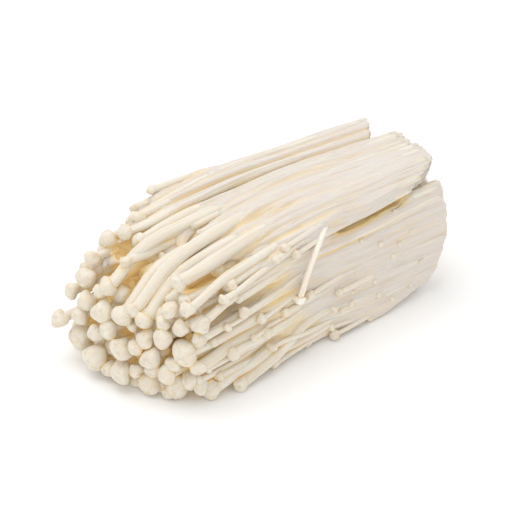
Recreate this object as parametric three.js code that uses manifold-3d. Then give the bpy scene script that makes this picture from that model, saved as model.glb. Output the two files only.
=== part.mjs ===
/*
 * A bunch of enoki mushrooms lying on its side.
 *
 * Units are millimetres. +X runs along the stems from the caps to the cut base, +Z is up, and
 * Y = 0 is the middle of the base. The origin is the centre of the flat spot that the bunch rests on.
 *
 * About 220 mushrooms grow side by side out of a fused base, in rings round the middle of the base.
 * Cutting off the root has let the bunch part into three clumps: a large lower one, a slab that lies
 * along its top near edge, and a slab at the top of the far side. Each clump is one solid: a core of
 * fused tissue, with the stems and caps that show standing out of it.
 */
import * as THREE from "three";
import { mergeVertices } from "three/addons/utils/BufferGeometryUtils.js";
import Module from "manifold-3d";

// ---- Driving dimensions ----

const HALF_WIDTH = 28; // half the width of the bunch at its base
const BASE_HEIGHT = 57; // height of the bunch at its base
const TOP_POWER = 5; // superellipse power of the cross-section's upper half: well-rounded corners
const FOOT_POWER = 9; // and of its lower half, whose corners the weight has pressed out
// How the bunch changes towards the caps: by how much, from where, and over what length.
const NEAR_SPLAY = { by: 10, fromX: 25, run: 85 }; // the near side spreads outwards,
const NEAR_TOP_SHARE = 0.7; // its top edge by this share of that,
const FOOT_SPLAY = { by: 5.5, fromX: 82, run: 40 }; // and its foot, pressed out, further still,
const FOOT_SHARE = 0.4; // up to this share of the height
const FAR_SPLAY = { by: 3, fromX: 30, run: 90 }; // the far side spreads
const SAG = { by: 6, fromX: 10, run: 80 }; // and the top sinks

const BASE_LOW_X = 66.5; // where the cut base stands at the table
const BASE_BULGE = 13.5; // how much further it reaches at its fullest height
const BASE_BULGE_AT = 0.47; // that height, as a share of the bunch's height
const UPPER_END_X = 79; // where the upper slab ends
const UPPER_END_SKEW = 10; // how much sooner its near edge ends
const UPPER_EDGE_TORN = 16; // and how much sooner again the lowest stems of that edge
const BACK_END_X = 78; // where the back slab ends at its far edge,
const BACK_END_SKEW = 16; // and how much sooner the middle of the bunch would

const FRONT_X = -77; // the furthest that cap centres reach along the bunch, at the table
const FRONT_MIDDLE_Y = 12; // where across the bunch that is
const FRONT_ROUND = 0.0075; // how fast the caps fall back to either side, per mm
const FRONT_LEAN = 14; // how far the caps at the top stand back
const FRONT_CORNER = 25; // and how much further at the top far corner
const FRONT_HEIGHT = 50; // height at which they do
const CAP_INSET = 2; // how far behind that front the first cap centres lie

const STEM_SIDES = 5; // each stem and cap is a prism with this many sides
const STEM_RING_SPACING = 46; // and has a ring of corners about this often along its length
const STEM_SPACING = 3.7; // distance between neighbouring stems at the base
const STEM_RADIUS = 1.45; // radius of the thinnest full-length stems
const STEM_RADIUS_SPREAD = 0.4;
const LEAST_SETBACK = 5; // caps not listed below stand at least this far behind the front,
const UPPER_SETBACK = 14; // or this far in the upper slab,
const SETBACK_SPREAD = 30; // and at most this much further
const TUCKED_FROM = 0.9; // the caps of its stems that grow higher than this share of the height
const TUCKED_BY = 0.15; // lie this much lower, under the long stems of the top
const NEAR_TUCKED_FROM = 0.8; // and those of the lower clump that grow nearer than this share
const NEAR_TUCKED_BY = 0.25; // of the half width lie this much further in
const DROOP_RUN = 17; // a drooping stem bends down over this length before its cap
const BASE_TAPER = 0.82; // a stem's radius at the base, as a share of that near its cap
const FUSED_X = 40; // stems are pressed into each other beyond this
const FUSED_SHARE = 0.78; // and keep only this share of their free spacing
const CLUMP_GAP = 0.6; // clear space between mushrooms of two clumps

const SPLIT_NEAR_Z = 46; // the cleft under the upper slab: its height at the near side
const SPLIT_SLOPE = 0.25; // and how much it falls, per mm towards the far side
const SPLIT_Y = 9; // the cleft between the upper slab and the back slab
const LIFTS = {
  lower: { y: 0, z: 0, fromX: 0, run: 40 }, // how far each clump has moved off where it grew,
  upper: { y: -1, z: 0.8, fromX: 5, run: 40 }, // from fromX towards the base
  back: { y: 0, z: 4.4, fromX: -62, run: 28 },
};
const BACK_TILT = { share: 0.45, fromU: 0.3, run: 0.4 }; // the back slab lifts less at the cleft
// The near top corner rises towards the base, from a share of the height, but less at the very top.
const CORNER_RISE = { z: 7, fromX: 25, run: 45, fromV: 0.45, runV: 0.35 };
const CORNER_TOP = { share: 0.25, fromV: 0.8, run: 0.2 };

const CORE_SETBACK = 15; // the fused cores end this far behind the front caps
const DEEPEST_CAP = 8; // caps further behind the front than this are inside and left out
const CORE_ROOTS = 7; // and the stems of the caps before them are sunk this far into them,
const ROOTED_VOLUME = 12; // or further, till this many cubic millimetres are,
const ROOT_SINK = 0.07; // and each time this share of the way to the core's middle
const SHORT_SHOWS = 50; // a short mushroom comes out of the bunch this far behind its cap
const NODE_GAP = 0.3; // clear space kept between the solids of two clumps
const CORE_INSET = 1.4; // how far a core stays inside the outline at the base
const CORE_CLEFT_INSET = 1.5; // and inside the clefts
const CORE_RINGS = [
  [1, 1], // a core's cross-sections from base to front: how far along, from 1 at the base to 0,
  [0.6, 0.92], // and their size as a share of that at the base
  [0.25, 0.8],
  [0, 0.64],
  [0, 0.3],
];
const CORE_END_INSET = 0.8; // how far the stems' cut ends stand out past it
const CORE_SIDES = 22;
const REST_X = [-24, 64]; // the flat spot on the table runs between these
const REST_HALF_WIDTH = 20;
const REST_DEPTH = 6; // and the tissue over it is solid this far up

const SEAT_JITTER = 0.7; // how unevenly the stems stand at the base
const END_RAGGED = 1.6; // how far apart their cut ends lie along the bunch
const WANDER = [0.5, 1.4]; // how far a stem strays from its line, least and most,
const WAVE = [55, 105]; // over waves this long
const SHORT_WANDER = 0.3;
const GATHER_RUN = 45; // a stem heads for its cap's place over this length behind the cap
const FILL_CAP_RADIUS = [3.4, 2.3]; // of the caps not listed, at the front and far behind it
const FILL_CAP_SPREAD = 0.5;
const CAP_ROOM = 0.75; // a cap takes room over this share of its radius, before and behind

const STATION_STEP = 4; // stems are laid out on cross-sections this far apart
const STATION_START = 80; // from beyond the base
const STATION_COUNT = 43; // to beyond the caps
const RELAX_ROUNDS = 44;
const PUSH = 0.3; // share of an overlap that each of two neighbours gives way in a round
const LISTED_GIVE = 0.4; // and the part of that which the listed mushrooms move
const EVENING = 0.35; // share of a bend that is straightened in a round
const PULL = 0.05; // share of the way back to its own line that a stem is drawn in a round,
const CAP_PULL = 0.35; // and within CAP_PULL_RUN of a listed cap
const CAP_PULL_RUN = 8;
const ROOT_TRIES = 6;
const SEED = 20417;

// A cap's outline from its rim to its top: how far forward and how wide, as shares of its radius.
const CAP_PROFILE = [
  [-0.3, 1],
  [0.25, 0.92],
  [0.7, 0.4],
];

// The mushrooms whose caps show at the front: x, y, z of the cap's centre, radius of the cap and of
// the stem, how much higher the stem runs before it droops to the cap, and, where it leans down to
// the table, how much higher it grows from the base.
const FRONT_CAPS = [
  [-68.5, 1, 38, 3.6, 2.6, 12],
  [-69, -9, 31, 4, 2.6, 17],
  [-66.5, -13, 33.5, 2.8, 2.4, 15],
  [-64.5, -17, 31.5, 3.4, 2.6, 15],
  [-54, -25.5, 48.5, 3.2, 2.7, 0],
  [-50, 5.5, 50, 3.2, 2.3, 2],
  [-43.6, 20, 50.5, 2.6, 2, 0],
  [-79.5, 19.5, 19.5, 3.5, 1.7, 0],
  [-73.5, 14, 21, 3.6, 1.8, 0],
  [-57, 18.5, 47, 3.6, 1.8, 0],
  [-65, 17, 42, 3.2, 1.7, 0],
  [-68, 17, 34, 4.4, 1.9, 8],
  [-71, 23, 27, 3.2, 1.7, 0],
  [-71.5, 12, 28, 3.6, 1.8, 0],
  [-69.5, 4.5, 35.5, 3.2, 1.7, 4],
  [-71.5, 1, 29, 4.6, 1.9, 0],
  [-60.5, 0, 47, 2.4, 1.6, 0],
  [-73, 14, 11, 4.8, 2.0, 0],
  [-73.5, 3, 19, 3.6, 1.8, 0],
  [-72, -3.5, 23, 3.6, 1.8, 0],
  [-66, -12, 27, 2.4, 1.6, 0],
  [-65.5, -19.5, 25, 3.6, 1.8, 0],
  [-62, -25.5, 27, 4, 1.9, 0],
  [-61, -24.5, 33, 2.8, 1.7, 0],
  [-59, -26, 38, 3.2, 1.7, 0],
  [-54, -29.5, 42, 2.8, 1.7, 0],
  [-57.5, -31, 32.5, 3.2, 1.7, 0],
  [-53, -36, 28.5, 2.8, 2, 0],
  [-57.5, -34, 22, 4.8, 2.2, 0],
  [-70.5, -10, 18, 4.4, 1.9, 0],
  [-68, -16, 20, 3, 1.7, 0],
  [-65.5, -22, 18, 4, 1.9, 0],
  [-74.5, 3, 8.5, 5.4, 2.1, 0],
  [-64, -21.5, 12, 3.2, 1.7, 0],
  [-71.5, -10, 7, 4.4, 1.9, 0],
  [-72, -3, 5.5, 3.4, 1.8, 0],
  [-68, -15.5, 9.5, 2.8, 1.7, 0],
  [-65, -18.5, 4.8, 4.4, 1.9, 0],
  [-62.5, -28, 12.5, 4, 2.1, 0],
  [-60.5, -30.5, 17.5, 3.2, 1.9, 0],
  [-55, -37.5, 17.5, 3.2, 2.1, 0],
  [-58.5, -29, 4.6, 4.4, 2.1, 0, 3],
  [-52.5, -30.5, 5.5, 2.4, 1.8, 0, 4],
  [-61, -27, 3.4, 2.6, 1.7, 0],
  [-56, -33.5, 41, 2.8, 1.7, 4],
  [-52, -36, 34.5, 3.6, 1.8, 6],
  [-39.5, 26, 51.5, 2.2, 1.6, 0],
  [-32, 25, 57.5, 1.8, 1.5, 0],
  [-29, 29.5, 54.5, 1.8, 1.5, 0],
  [-48, -36, 4.2, 3.6, 2.1, 0, 6],
  [-36, -38.5, 3, 3, 2, 0, 10],
  [-39, -38, 17.5, 2.6, 1.9, 0],
];

// Shorter mushrooms that lie against the near side: x, y, z of the cap's centre and its radius.
const NEAR_CAPS = [
  [-17.5, -35.5, 2.2, 2.1],
  [-15, -33, 47, 1.9],
  [-10, -32, 50.5, 1.7],
  [-5, -32, 46, 1.8],
  [-32.5, -36.5, 32, 2.4],
  [-23.5, -35, 25.5, 2],
  [-11, -33.5, 22.5, 2],
  [-21.5, -35.5, 18.5, 2.2],
  [-18.5, -35.5, 10.5, 2.1],
  [2, -32.5, 25.5, 1.8],
  [18, -31.5, 20, 1.6],
  [14.5, -31.5, 13, 1.5],
  [14, -31.5, 5.5, 1.6],
  [2.5, -31, 2.4, 1.8],
  [14, -33.5, 2.1, 2],
  [-41, -37, 30, 1.7],
  [-42, -36.5, 41.5, 2],
  [-28.5, -36.5, 19, 1.7],
  [34, -32, 2, 1.5],
];

// Short mushrooms against the sides that no list gives: how many, and where round the base they
// may grow, as an angle from +Y towards +Z.
const SIDE_SHORTS = 12;
const SIDE_ANGLES = [-0.95, 0.5];
const SIDE_CAP_X = [-48, 42];
const SIDE_CAP_RADIUS = [1.4, 2.4];
const SHORT_STEM_RADIUS = 1.05;
const SHORT_ROOT_INSET = 2.2; // how far inside the outline they root

// The one long mushroom that has sprung out of the cleft and hangs down over the near side.
const STRAY_PATH = [
  [46, -20, 50],
  [28, -22, 50],
  [18, -24.5, 50.3],
  [12, -27.8, 49.8],
  [5, -31, 43.5],
  [0.3, -32, 36],
  [-4.1, -32.3, 26.1],
];
const STRAY = { stemRadius: 1.15, capRadius: 2.1, capX: -4, endX: 46 };

// ---- Small helpers ----

const clamp = (t, low, high) => Math.min(high, Math.max(low, t));
const mix = (a, b, t) => a + (b - a) * t;

function smooth(t) {
  const c = clamp(t, 0, 1);
  return c * c * (3 - 2 * c);
}

/** A seeded random number source, uniform from 0 to 1. */
function randomSource(seed) {
  let state = seed >>> 0;
  return () => {
    state = (state + 0x6d2b79f5) >>> 0;
    let t = Math.imul(state ^ (state >>> 15), state | 1);
    t ^= t + Math.imul(t ^ (t >>> 7), t | 61);
    return ((t ^ (t >>> 14)) >>> 0) / 4294967296;
  };
}

// ---- The bunch's outline ----

/** How far a change towards the caps has gone at x. */
function towardsCaps(x, change) {
  return change.by * smooth((change.fromX - x) / change.run);
}

/** The near side's Y at a place along the bunch. v is the share of the height. */
function nearSide(x, v) {
  const splay = towardsCaps(x, NEAR_SPLAY) * mix(1, NEAR_TOP_SHARE, clamp(v, 0, 1));
  const foot = towardsCaps(x, FOOT_SPLAY) * smooth(1 - v / FOOT_SHARE);
  return -HALF_WIDTH - splay - foot;
}

function farSide(x) {
  return HALF_WIDTH + towardsCaps(x, FAR_SPLAY);
}

function topHeight(x) {
  return BASE_HEIGHT - towardsCaps(x, SAG);
}

/** The point of the cross-section at x that lies at share u across (-1 to 1) and v up (0 to 1). */
function place(x, u, v) {
  return [mix(nearSide(x, v), farSide(x), (u + 1) / 2), topHeight(x) * v];
}

/** The reverse of place. */
function locate(x, y, z) {
  const v = z / topHeight(x);
  const near = nearSide(x, v);
  return [(2 * (y - near)) / (farSide(x) - near) - 1, v];
}

/** How far along the bunch the caps reach at a place of its cross-section. */
function capFront(y, z) {
  const rise = (Math.max(z, 0) / FRONT_HEIGHT) ** 3;
  const corner = Math.max(0, y / HALF_WIDTH) ** 2;
  const round = FRONT_ROUND * (y - FRONT_MIDDLE_Y) ** 2;
  return FRONT_X + round + (FRONT_LEAN + FRONT_CORNER * corner) * rise;
}

/** Which clump a place on the base belongs to. */
function clumpOf(y, z) {
  if (z < SPLIT_NEAR_Z - SPLIT_SLOPE * (y + HALF_WIDTH)) return "lower";
  return y > SPLIT_Y ? "back" : "upper";
}

/** Where the cut base stands along the bunch. */
function baseEnd(clump, u, v) {
  if (clump === "upper") {
    const low = clamp((1 - v) / (1 - SPLIT_NEAR_Z / BASE_HEIGHT), 0, 1);
    return UPPER_END_X - (UPPER_END_SKEW + UPPER_EDGE_TORN * low) * clamp(-u, 0, 1) ** 3;
  }
  if (clump === "back") return BACK_END_X - BACK_END_SKEW * clamp(1 - u, 0, 1);
  return BASE_LOW_X + BASE_BULGE * (1 - ((v - BASE_BULGE_AT) / BASE_BULGE_AT) ** 2);
}

/** How far a clump's stem at shares u and v has moved, at x, off where it grew. */
function shiftAt(clump, u, v, x) {
  const lift = LIFTS[clump];
  const share = smooth((x - lift.fromX) / lift.run);
  const tilted = mix(BACK_TILT.share, 1, smooth((u - BACK_TILT.fromU) / BACK_TILT.run));
  const corner = clamp(-u, 0, 1) ** 2 * clamp((v - CORNER_RISE.fromV) / CORNER_RISE.runV, 0, 1);
  const eased = mix(1, CORNER_TOP.share, clamp((v - CORNER_TOP.fromV) / CORNER_TOP.run, 0, 1));
  const rise = CORNER_RISE.z * smooth((x - CORNER_RISE.fromX) / CORNER_RISE.run);
  const up = lift.z * share * (clump === "back" ? tilted : 1);
  return [lift.y * share, up + rise * corner * eased];
}

/** The point of the base's outline at an angle from +Y towards +Z, taken in by some millimetres. */
function outlineAt(angle, inset) {
  const c = Math.cos(angle);
  const s = Math.sin(angle);
  const power = s < 0 ? FOOT_POWER : TOP_POWER;
  const reach = (Math.abs(c) ** power + Math.abs(s) ** power) ** (-1 / power);
  const half = BASE_HEIGHT / 2;
  return [(HALF_WIDTH - inset) * c * reach, half + (half - inset) * s * reach];
}

/** The point at x that belongs to the base's shares u and v, as its clump has moved. */
function placeShifted(x, u, v) {
  const point = placed(clumpOf(...place(STATION_START, u, v)), x, u, v);
  return [point.y, point.z];
}

/** Evenly spaced points on the base's outline, taken in by some millimetres. */
function outlinePoints(inset, spacing) {
  const samples = 480;
  const points = [];
  for (let i = 0; i <= samples; i++) {
    points.push(outlineAt((2 * Math.PI * i) / samples, inset));
  }
  const lengths = [0];
  for (let i = 1; i <= samples; i++) {
    const step = Math.hypot(points[i][0] - points[i - 1][0], points[i][1] - points[i - 1][1]);
    lengths.push(lengths[i - 1] + step);
  }
  const total = lengths[samples];
  const count = Math.max(1, Math.round(total / spacing));
  const even = [];
  let j = 0;
  for (let i = 0; i < count; i++) {
    const wanted = (total * i) / count;
    while (lengths[j + 1] < wanted) j++;
    const t = (wanted - lengths[j]) / (lengths[j + 1] - lengths[j]);
    even.push([mix(points[j][0], points[j + 1][0], t), mix(points[j][1], points[j + 1][1], t)]);
  }
  return even;
}

// ---- Where each mushroom grows ----

/** One mushroom: base and cap as shares of the cross-section, sizes, and how its stem wanders. */
function mushroom(kind, ring, base, cap, stemRadius, droop, random) {
  const [u, v] = locate(STATION_START, base[0], base[1]);
  const clump = clumpOf(base[0], base[1]);
  const [shiftY, shiftZ] = shiftAt(clump, u, v, cap[0]);
  const [capU, capV] = locate(cap[0], cap[1] - shiftY, cap[2] + droop - shiftZ);
  return {
    kind,
    ring,
    clump,
    u,
    v,
    capX: cap[0],
    capU,
    capV,
    capRadius: cap[3],
    stemRadius,
    droop,
    endX: baseEnd(clump, u, v) + END_RAGGED * (random() - 0.5),
    wander: mix(WANDER[0], WANDER[1], random()),
    wave: mix(WAVE[0], WAVE[1], random()),
    phase: [2 * Math.PI * random(), 2 * Math.PI * random()],
  };
}

/** The full-length mushrooms, in rings round the middle of the base. */
function fullLength(random) {
  const seats = [];
  const firstInset = STEM_RADIUS;
  for (let ring = 0; firstInset + ring * STEM_SPACING < HALF_WIDTH - 1; ring++) {
    const points = outlinePoints(firstInset + ring * STEM_SPACING, STEM_SPACING);
    for (const [y, z] of points) {
      const at = [y + SEAT_JITTER * (random() - 0.5), z + SEAT_JITTER * (random() - 0.5)];
      seats.push({ ring, at, taken: false });
    }
  }
  const made = [];
  for (const [x, y, z, radius, stemRadius, droop, rise = 0] of FRONT_CAPS) {
    const [u, v] = locate(x, y, z + droop + rise);
    const wanted = place(STATION_START, clamp(u, -0.97, 0.97), clamp(v, 0.03, 0.97));
    let best = null;
    for (const seat of seats) {
      if (seat.taken) continue;
      seat.distance = Math.hypot(seat.at[0] - wanted[0], seat.at[1] - wanted[1]);
      if (!best || seat.distance < best.distance) best = seat;
    }
    best.taken = true;
    made.push(mushroom("front", best.ring, best.at, [x, y, z, radius], stemRadius, droop, random));
  }
  for (const seat of seats) {
    if (seat.taken) continue;
    const least = clumpOf(...seat.at) === "upper" ? UPPER_SETBACK : LEAST_SETBACK;
    const setback = least + SETBACK_SPREAD * random() ** 2;
    let [u, v] = locate(STATION_START, seat.at[0], seat.at[1]);
    if (clumpOf(...seat.at) === "upper" && v > TUCKED_FROM) v -= TUCKED_BY;
    if (clumpOf(...seat.at) === "lower" && u < -NEAR_TUCKED_FROM) u += NEAR_TUCKED_BY;
    let [y, z] = place(FRONT_X, u, v);
    const x = capFront(y, z) + CAP_INSET + setback;
    [y, z] = placeShifted(x, u, v);
    const behind = setback / (LEAST_SETBACK + SETBACK_SPREAD);
    const radius = mix(...FILL_CAP_RADIUS, behind) + FILL_CAP_SPREAD * (random() - 0.5);
    const stemRadius = STEM_RADIUS + STEM_RADIUS_SPREAD * random();
    made.push(mushroom("fill", seat.ring, seat.at, [x, y, z, radius], stemRadius, 0, random));
  }
  return made;
}

/** The shorter mushrooms that lie against the outside of the bunch. */
function sideShorts(random) {
  const made = [];
  for (const [x, y, z, radius] of NEAR_CAPS) {
    const v = clamp(z / topHeight(x), 0.03, 0.93);
    const base = outlineAt(Math.PI - Math.asin(clamp(2 * v - 1, -0.7, 0.7)), SHORT_ROOT_INSET);
    made.push(mushroom("short", -1, base, [x, y, z, radius], SHORT_STEM_RADIUS, 0, random));
  }
  for (let i = 0; i < SIDE_SHORTS; i++) {
    const angle = mix(SIDE_ANGLES[0], SIDE_ANGLES[1], (i + random()) / SIDE_SHORTS);
    const base = outlineAt(angle, SHORT_ROOT_INSET);
    const x = mix(SIDE_CAP_X[0], SIDE_CAP_X[1], random());
    const radius = mix(SIDE_CAP_RADIUS[0], SIDE_CAP_RADIUS[1], random());
    const [u, v] = locate(STATION_START, base[0], base[1]);
    const [y, z] = placeShifted(x, u, v);
    const out = SHORT_ROOT_INSET + radius;
    const cap = [x, y + out * Math.cos(angle), z + out * Math.sin(angle), radius];
    made.push(mushroom("short", -1, base, cap, SHORT_STEM_RADIUS, 0, random));
  }
  return made;
}

// ---- Laying the stems side by side ----

const stationX = (k) => STATION_START - k * STATION_STEP;

/** Where a stem would run if nothing else were there. */
function wantedAt(m, x) {
  const bend = smooth((m.capX + GATHER_RUN - x) / GATHER_RUN);
  const [y, z] = place(x, mix(m.u, m.capU, bend), mix(m.v, m.capV, bend));
  const [shiftY, shiftZ] = shiftAt(m.clump, m.u, m.v, x);
  const fall = m.droop * (1 - smooth((x - m.capX) / DROOP_RUN));
  const along = clamp((m.endX - x) / (m.endX - m.capX), 0, 1);
  const sway = m.kind === "short" ? SHORT_WANDER : m.wander * along * (1 - 0.7 * bend);
  return [
    y + shiftY + sway * Math.sin((2 * Math.PI * x) / m.wave + m.phase[0]),
    z + shiftZ - fall + sway * Math.sin((2 * Math.PI * x) / m.wave + m.phase[1]),
  ];
}

/** The room that a mushroom takes in the cross-section at x, as a radius, or 0 where it isn't. */
function roomAt(m, x) {
  const half = CAP_ROOM * m.capRadius;
  if (m.kind === "short" && x > m.capX + 0.6 * SHORT_SHOWS) return 0;
  if (x < m.capX - half || x > m.endX + STATION_STEP) return 0;
  if (x < m.capX + half) return m.capRadius;
  return m.stemRadius * (x > FUSED_X ? FUSED_SHARE : 1);
}

/** Moves the stems apart where they overlap, and keeps each one smooth and near its own line. */
function layOut(mushrooms) {
  for (const m of mushrooms) {
    m.line = [];
    m.room = [];
    for (let k = 0; k < STATION_COUNT; k++) {
      m.line.push(wantedAt(m, stationX(k)));
      m.room.push(roomAt(m, stationX(k)));
    }
    m.wanted = m.line.map((p) => [...p]);
  }
  for (let round = 0; round < RELAX_ROUNDS; round++) {
    for (let k = 0; k < STATION_COUNT; k++) {
      pushApart(
        mushrooms.filter((m) => m.room[k] > 0),
        k,
      );
    }
    for (const m of mushrooms) {
      evenOut(m);
    }
  }
}

/** Pushes overlapping neighbours apart in one cross-section. */
function pushApart(here, k) {
  const shifts = here.map(() => [0, 0]);
  for (let i = 0; i < here.length; i++) {
    for (let j = i + 1; j < here.length; j++) {
      const dy = here[j].line[k][0] - here[i].line[k][0];
      const dz = here[j].line[k][1] - here[i].line[k][1];
      const gap = here[i].clump === here[j].clump ? 0 : CLUMP_GAP;
      const least = here[i].room[k] + here[j].room[k] + gap;
      const distance = Math.hypot(dy, dz);
      if (distance >= least) continue;
      const push = (PUSH * (least - distance)) / Math.max(distance, 0.01);
      shifts[i][0] -= push * dy;
      shifts[i][1] -= push * dz;
      shifts[j][0] += push * dy;
      shifts[j][1] += push * dz;
    }
  }
  here.forEach((m, i) => {
    const give = m.kind === "front" ? LISTED_GIVE : 1;
    m.line[k][0] += give * shifts[i][0];
    m.line[k][1] += give * shifts[i][1];
  });
}

/** Smooths one stem's line, draws it back a little to where it belongs, and keeps it on the table. */
function evenOut(m) {
  const old = m.line.map((p) => [...p]);
  for (let k = 0; k < STATION_COUNT; k++) {
    const before = old[Math.max(0, k - 1)];
    const after = old[Math.min(STATION_COUNT - 1, k + 1)];
    const nearCap = Math.abs(stationX(k) - m.capX) < CAP_PULL_RUN && m.kind !== "fill";
    const pull = nearCap ? CAP_PULL : PULL;
    for (let c = 0; c < 2; c++) {
      const even = mix(old[k][c], (before[c] + after[c]) / 2, EVENING);
      m.line[k][c] = mix(even, m.wanted[k][c], pull);
    }
    m.line[k][1] = Math.max(m.line[k][1], m.room[k]);
  }
}

/** A mushroom's centre line at x, as a point in space. */
function centreAt(m, x) {
  const k = clamp((STATION_START - x) / STATION_STEP, 0, STATION_COUNT - 1.001);
  const low = Math.floor(k);
  const [y0, z0] = m.line[low];
  const [y1, z1] = m.line[low + 1];
  return new THREE.Vector3(x, mix(y0, y1, k - low), mix(z0, z1, k - low));
}

// ---- Solids ----

const wasm = await Module();
wasm.setup();

/** A closed geometry as a manifold-3d solid. */
function toSolid(geometry) {
  const bare = geometry.clone();
  bare.deleteAttribute("normal");
  bare.deleteAttribute("uv");
  const merged = mergeVertices(bare, 1e-4);
  return new wasm.Manifold(
    new wasm.Mesh({
      numProp: 3,
      vertProperties: merged.attributes.position.array,
      triVerts: new Uint32Array(merged.index.array),
    }),
  );
}

/** A manifold-3d solid as a geometry with flat faces. */
function toGeometry(solid) {
  const mesh = solid.getMesh();
  const positions = new Float32Array(mesh.numVert * 3);
  for (let i = 0; i < mesh.numVert; i++) {
    const from = i * mesh.numProp;
    positions.set(mesh.vertProperties.subarray(from, from + 3), i * 3);
  }
  const indexed = new THREE.BufferGeometry();
  indexed.setAttribute("position", new THREE.BufferAttribute(positions, 3));
  indexed.setIndex(new THREE.BufferAttribute(mesh.triVerts, 1));
  const flat = indexed.toNonIndexed();
  flat.computeVertexNormals();
  return flat;
}

/** A closed skin through rings of points, which turn anticlockwise seen along the way they run. */
function skin(rings) {
  const sides = rings[0].length;
  const positions = rings.flat().flatMap((p) => [p.x, p.y, p.z]);
  const faces = [];
  for (let r = 0; r + 1 < rings.length; r++) {
    for (let s = 0; s < sides; s++) {
      const a = r * sides + s;
      const b = r * sides + ((s + 1) % sides);
      faces.push(a, a + sides, b, b, a + sides, b + sides);
    }
  }
  const last = (rings.length - 1) * sides;
  for (let s = 1; s + 1 < sides; s++) {
    faces.push(0, s, s + 1);
    faces.push(last, last + s + 1, last + s);
  }
  const geometry = new THREE.BufferGeometry();
  geometry.setAttribute("position", new THREE.Float32BufferAttribute(positions, 3));
  geometry.setIndex(faces);
  return toSolid(geometry);
}

/** A ring of points round a centre, square to a direction. */
function ringRound(centre, direction, radius, turn) {
  const across = new THREE.Vector3(0, 1, 0).cross(direction).normalize();
  const upwards = new THREE.Vector3().crossVectors(direction, across);
  const ring = [];
  for (let s = 0; s < STEM_SIDES; s++) {
    const angle = turn - (2 * Math.PI * s) / STEM_SIDES;
    const point = centre.clone();
    point.addScaledVector(across, radius * Math.cos(angle));
    point.addScaledVector(upwards, radius * Math.sin(angle));
    ring.push(point);
  }
  return ring;
}

/** One mushroom, thicker by grow: a tube along its centre line that swells into the cap. */
function mushroomSolid(path, m, grow) {
  const rings = [];
  const turn = path.length + path[0].y;
  const directions = path.map((p, i) => {
    const from = path[Math.max(0, i - 1)];
    const to = path[Math.min(path.length - 1, i + 1)];
    return new THREE.Vector3().subVectors(to, from).normalize();
  });
  path.forEach((p, i) => {
    if (i < path.length - 1) {
      rings.push(ringRound(p, directions[i], stemRadiusAt(m, p.x) + grow, turn));
    }
  });
  const centre = path[path.length - 1];
  const forward = directions[path.length - 1];
  for (const [along, share] of CAP_PROFILE) {
    const at = centre.clone().addScaledVector(forward, along * (m.capRadius + grow));
    rings.push(ringRound(at, forward, share * m.capRadius + grow, turn));
  }
  return skin(rings);
}

/** The places along a stem where its solid gets a ring: few where it runs straight. */
function pathOf(m, fromX) {
  const neck = m.capX + 0.7 * m.capRadius;
  const stations = m.droop > 5 ? [m.capX + 0.5 * DROOP_RUN, m.capX + 1.1 * DROOP_RUN] : [];
  const bent = Math.max(neck, ...stations);
  const count = Math.max(1, Math.round((fromX - bent) / STEM_RING_SPACING));
  for (let i = count; i > 0; i--) {
    stations.push(mix(bent, fromX, i / count));
  }
  stations.push(neck, m.capX);
  stations.sort((a, b) => b - a);
  return stations.map((x) => centreAt(m, x));
}

/** A stem is thinner towards the base. */
function stemRadiusAt(m, x) {
  const along = clamp((m.endX - x) / (m.endX - m.capX), 0, 1);
  return m.stemRadius * mix(BASE_TAPER, 1, smooth(2 * along));
}

/** Whether nothing of a mushroom shows, because its cap lies inside the bunch. */
function isHidden(m) {
  return m.ring > 0 && m.capX > capFront(...centreYZ(m)) + DEEPEST_CAP;
}

/** How far back along the bunch a mushroom's stem shows, or is rooted in the core. */
function rootX(m) {
  if (m.kind === "short") return m.capX + SHORT_SHOWS;
  if (m.ring > 0) return capFront(...centreYZ(m)) + CORE_SETBACK + CORE_ROOTS;
  return m.endX;
}

/** The centre line of a mushroom's solid, run back and sunk in till it is rooted in the core. */
function rootedPath(m, core) {
  for (let tries = 0; ; tries++) {
    const fromX = Math.min(rootX(m) + tries * CORE_ROOTS, m.endX);
    const path = pathOf(m, fromX);
    for (const point of path) {
      const sunk = ROOT_SINK * tries * smooth((point.x - m.capX - 20) / 40);
      point.lerp(middleAt(m.clump, point.x), sunk);
    }
    const solid = mushroomSolid(path, m, 0);
    if (tries === ROOT_TRIES || solid.intersect(core).volume() > ROOTED_VOLUME) return path;
  }
}

/** Where a mushroom's cap lies in the cross-section. */
function centreYZ(m) {
  const p = centreAt(m, m.capX);
  return [p.y, p.z];
}

/** The stray mushroom, along its own curve. */
function strayPath() {
  const curve = new THREE.CatmullRomCurve3(STRAY_PATH.map((p) => new THREE.Vector3(...p)));
  return curve.getSpacedPoints(10);
}

/** Keeps the side of a polygon where keep is positive. */
function clipPolygon(polygon, keep) {
  const kept = [];
  polygon.forEach((p, i) => {
    const q = polygon[(i + 1) % polygon.length];
    const a = keep(p);
    const b = keep(q);
    if (a >= 0) kept.push(p);
    if (a * b < 0) kept.push([mix(p[0], q[0], a / (a - b)), mix(p[1], q[1], a / (a - b))]);
  });
  return kept;
}

/** The outline of a clump's fused core at the base. */
function coreOutline(clump) {
  const spacing = (8 * HALF_WIDTH) / CORE_SIDES;
  const whole = outlinePoints(CORE_INSET, spacing);
  const overSplit = ([y, z]) => z - SPLIT_NEAR_Z + SPLIT_SLOPE * (y + HALF_WIDTH);
  const beyond = ([y]) => y - SPLIT_Y;
  const inset = CORE_CLEFT_INSET;
  if (clump === "lower") return clipPolygon(whole, (p) => -overSplit(p) - inset);
  const over = clipPolygon(whole, (p) => overSplit(p) - inset);
  const side = clump === "back" ? 1 : -1;
  return clipPolygon(over, (p) => side * beyond(p) - inset);
}

/** The middle of a clump's base. */
function middleOf(outline) {
  return [0, 1].map((c) => outline.reduce((sum, p) => sum + p[c], 0) / outline.length);
}

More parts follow.
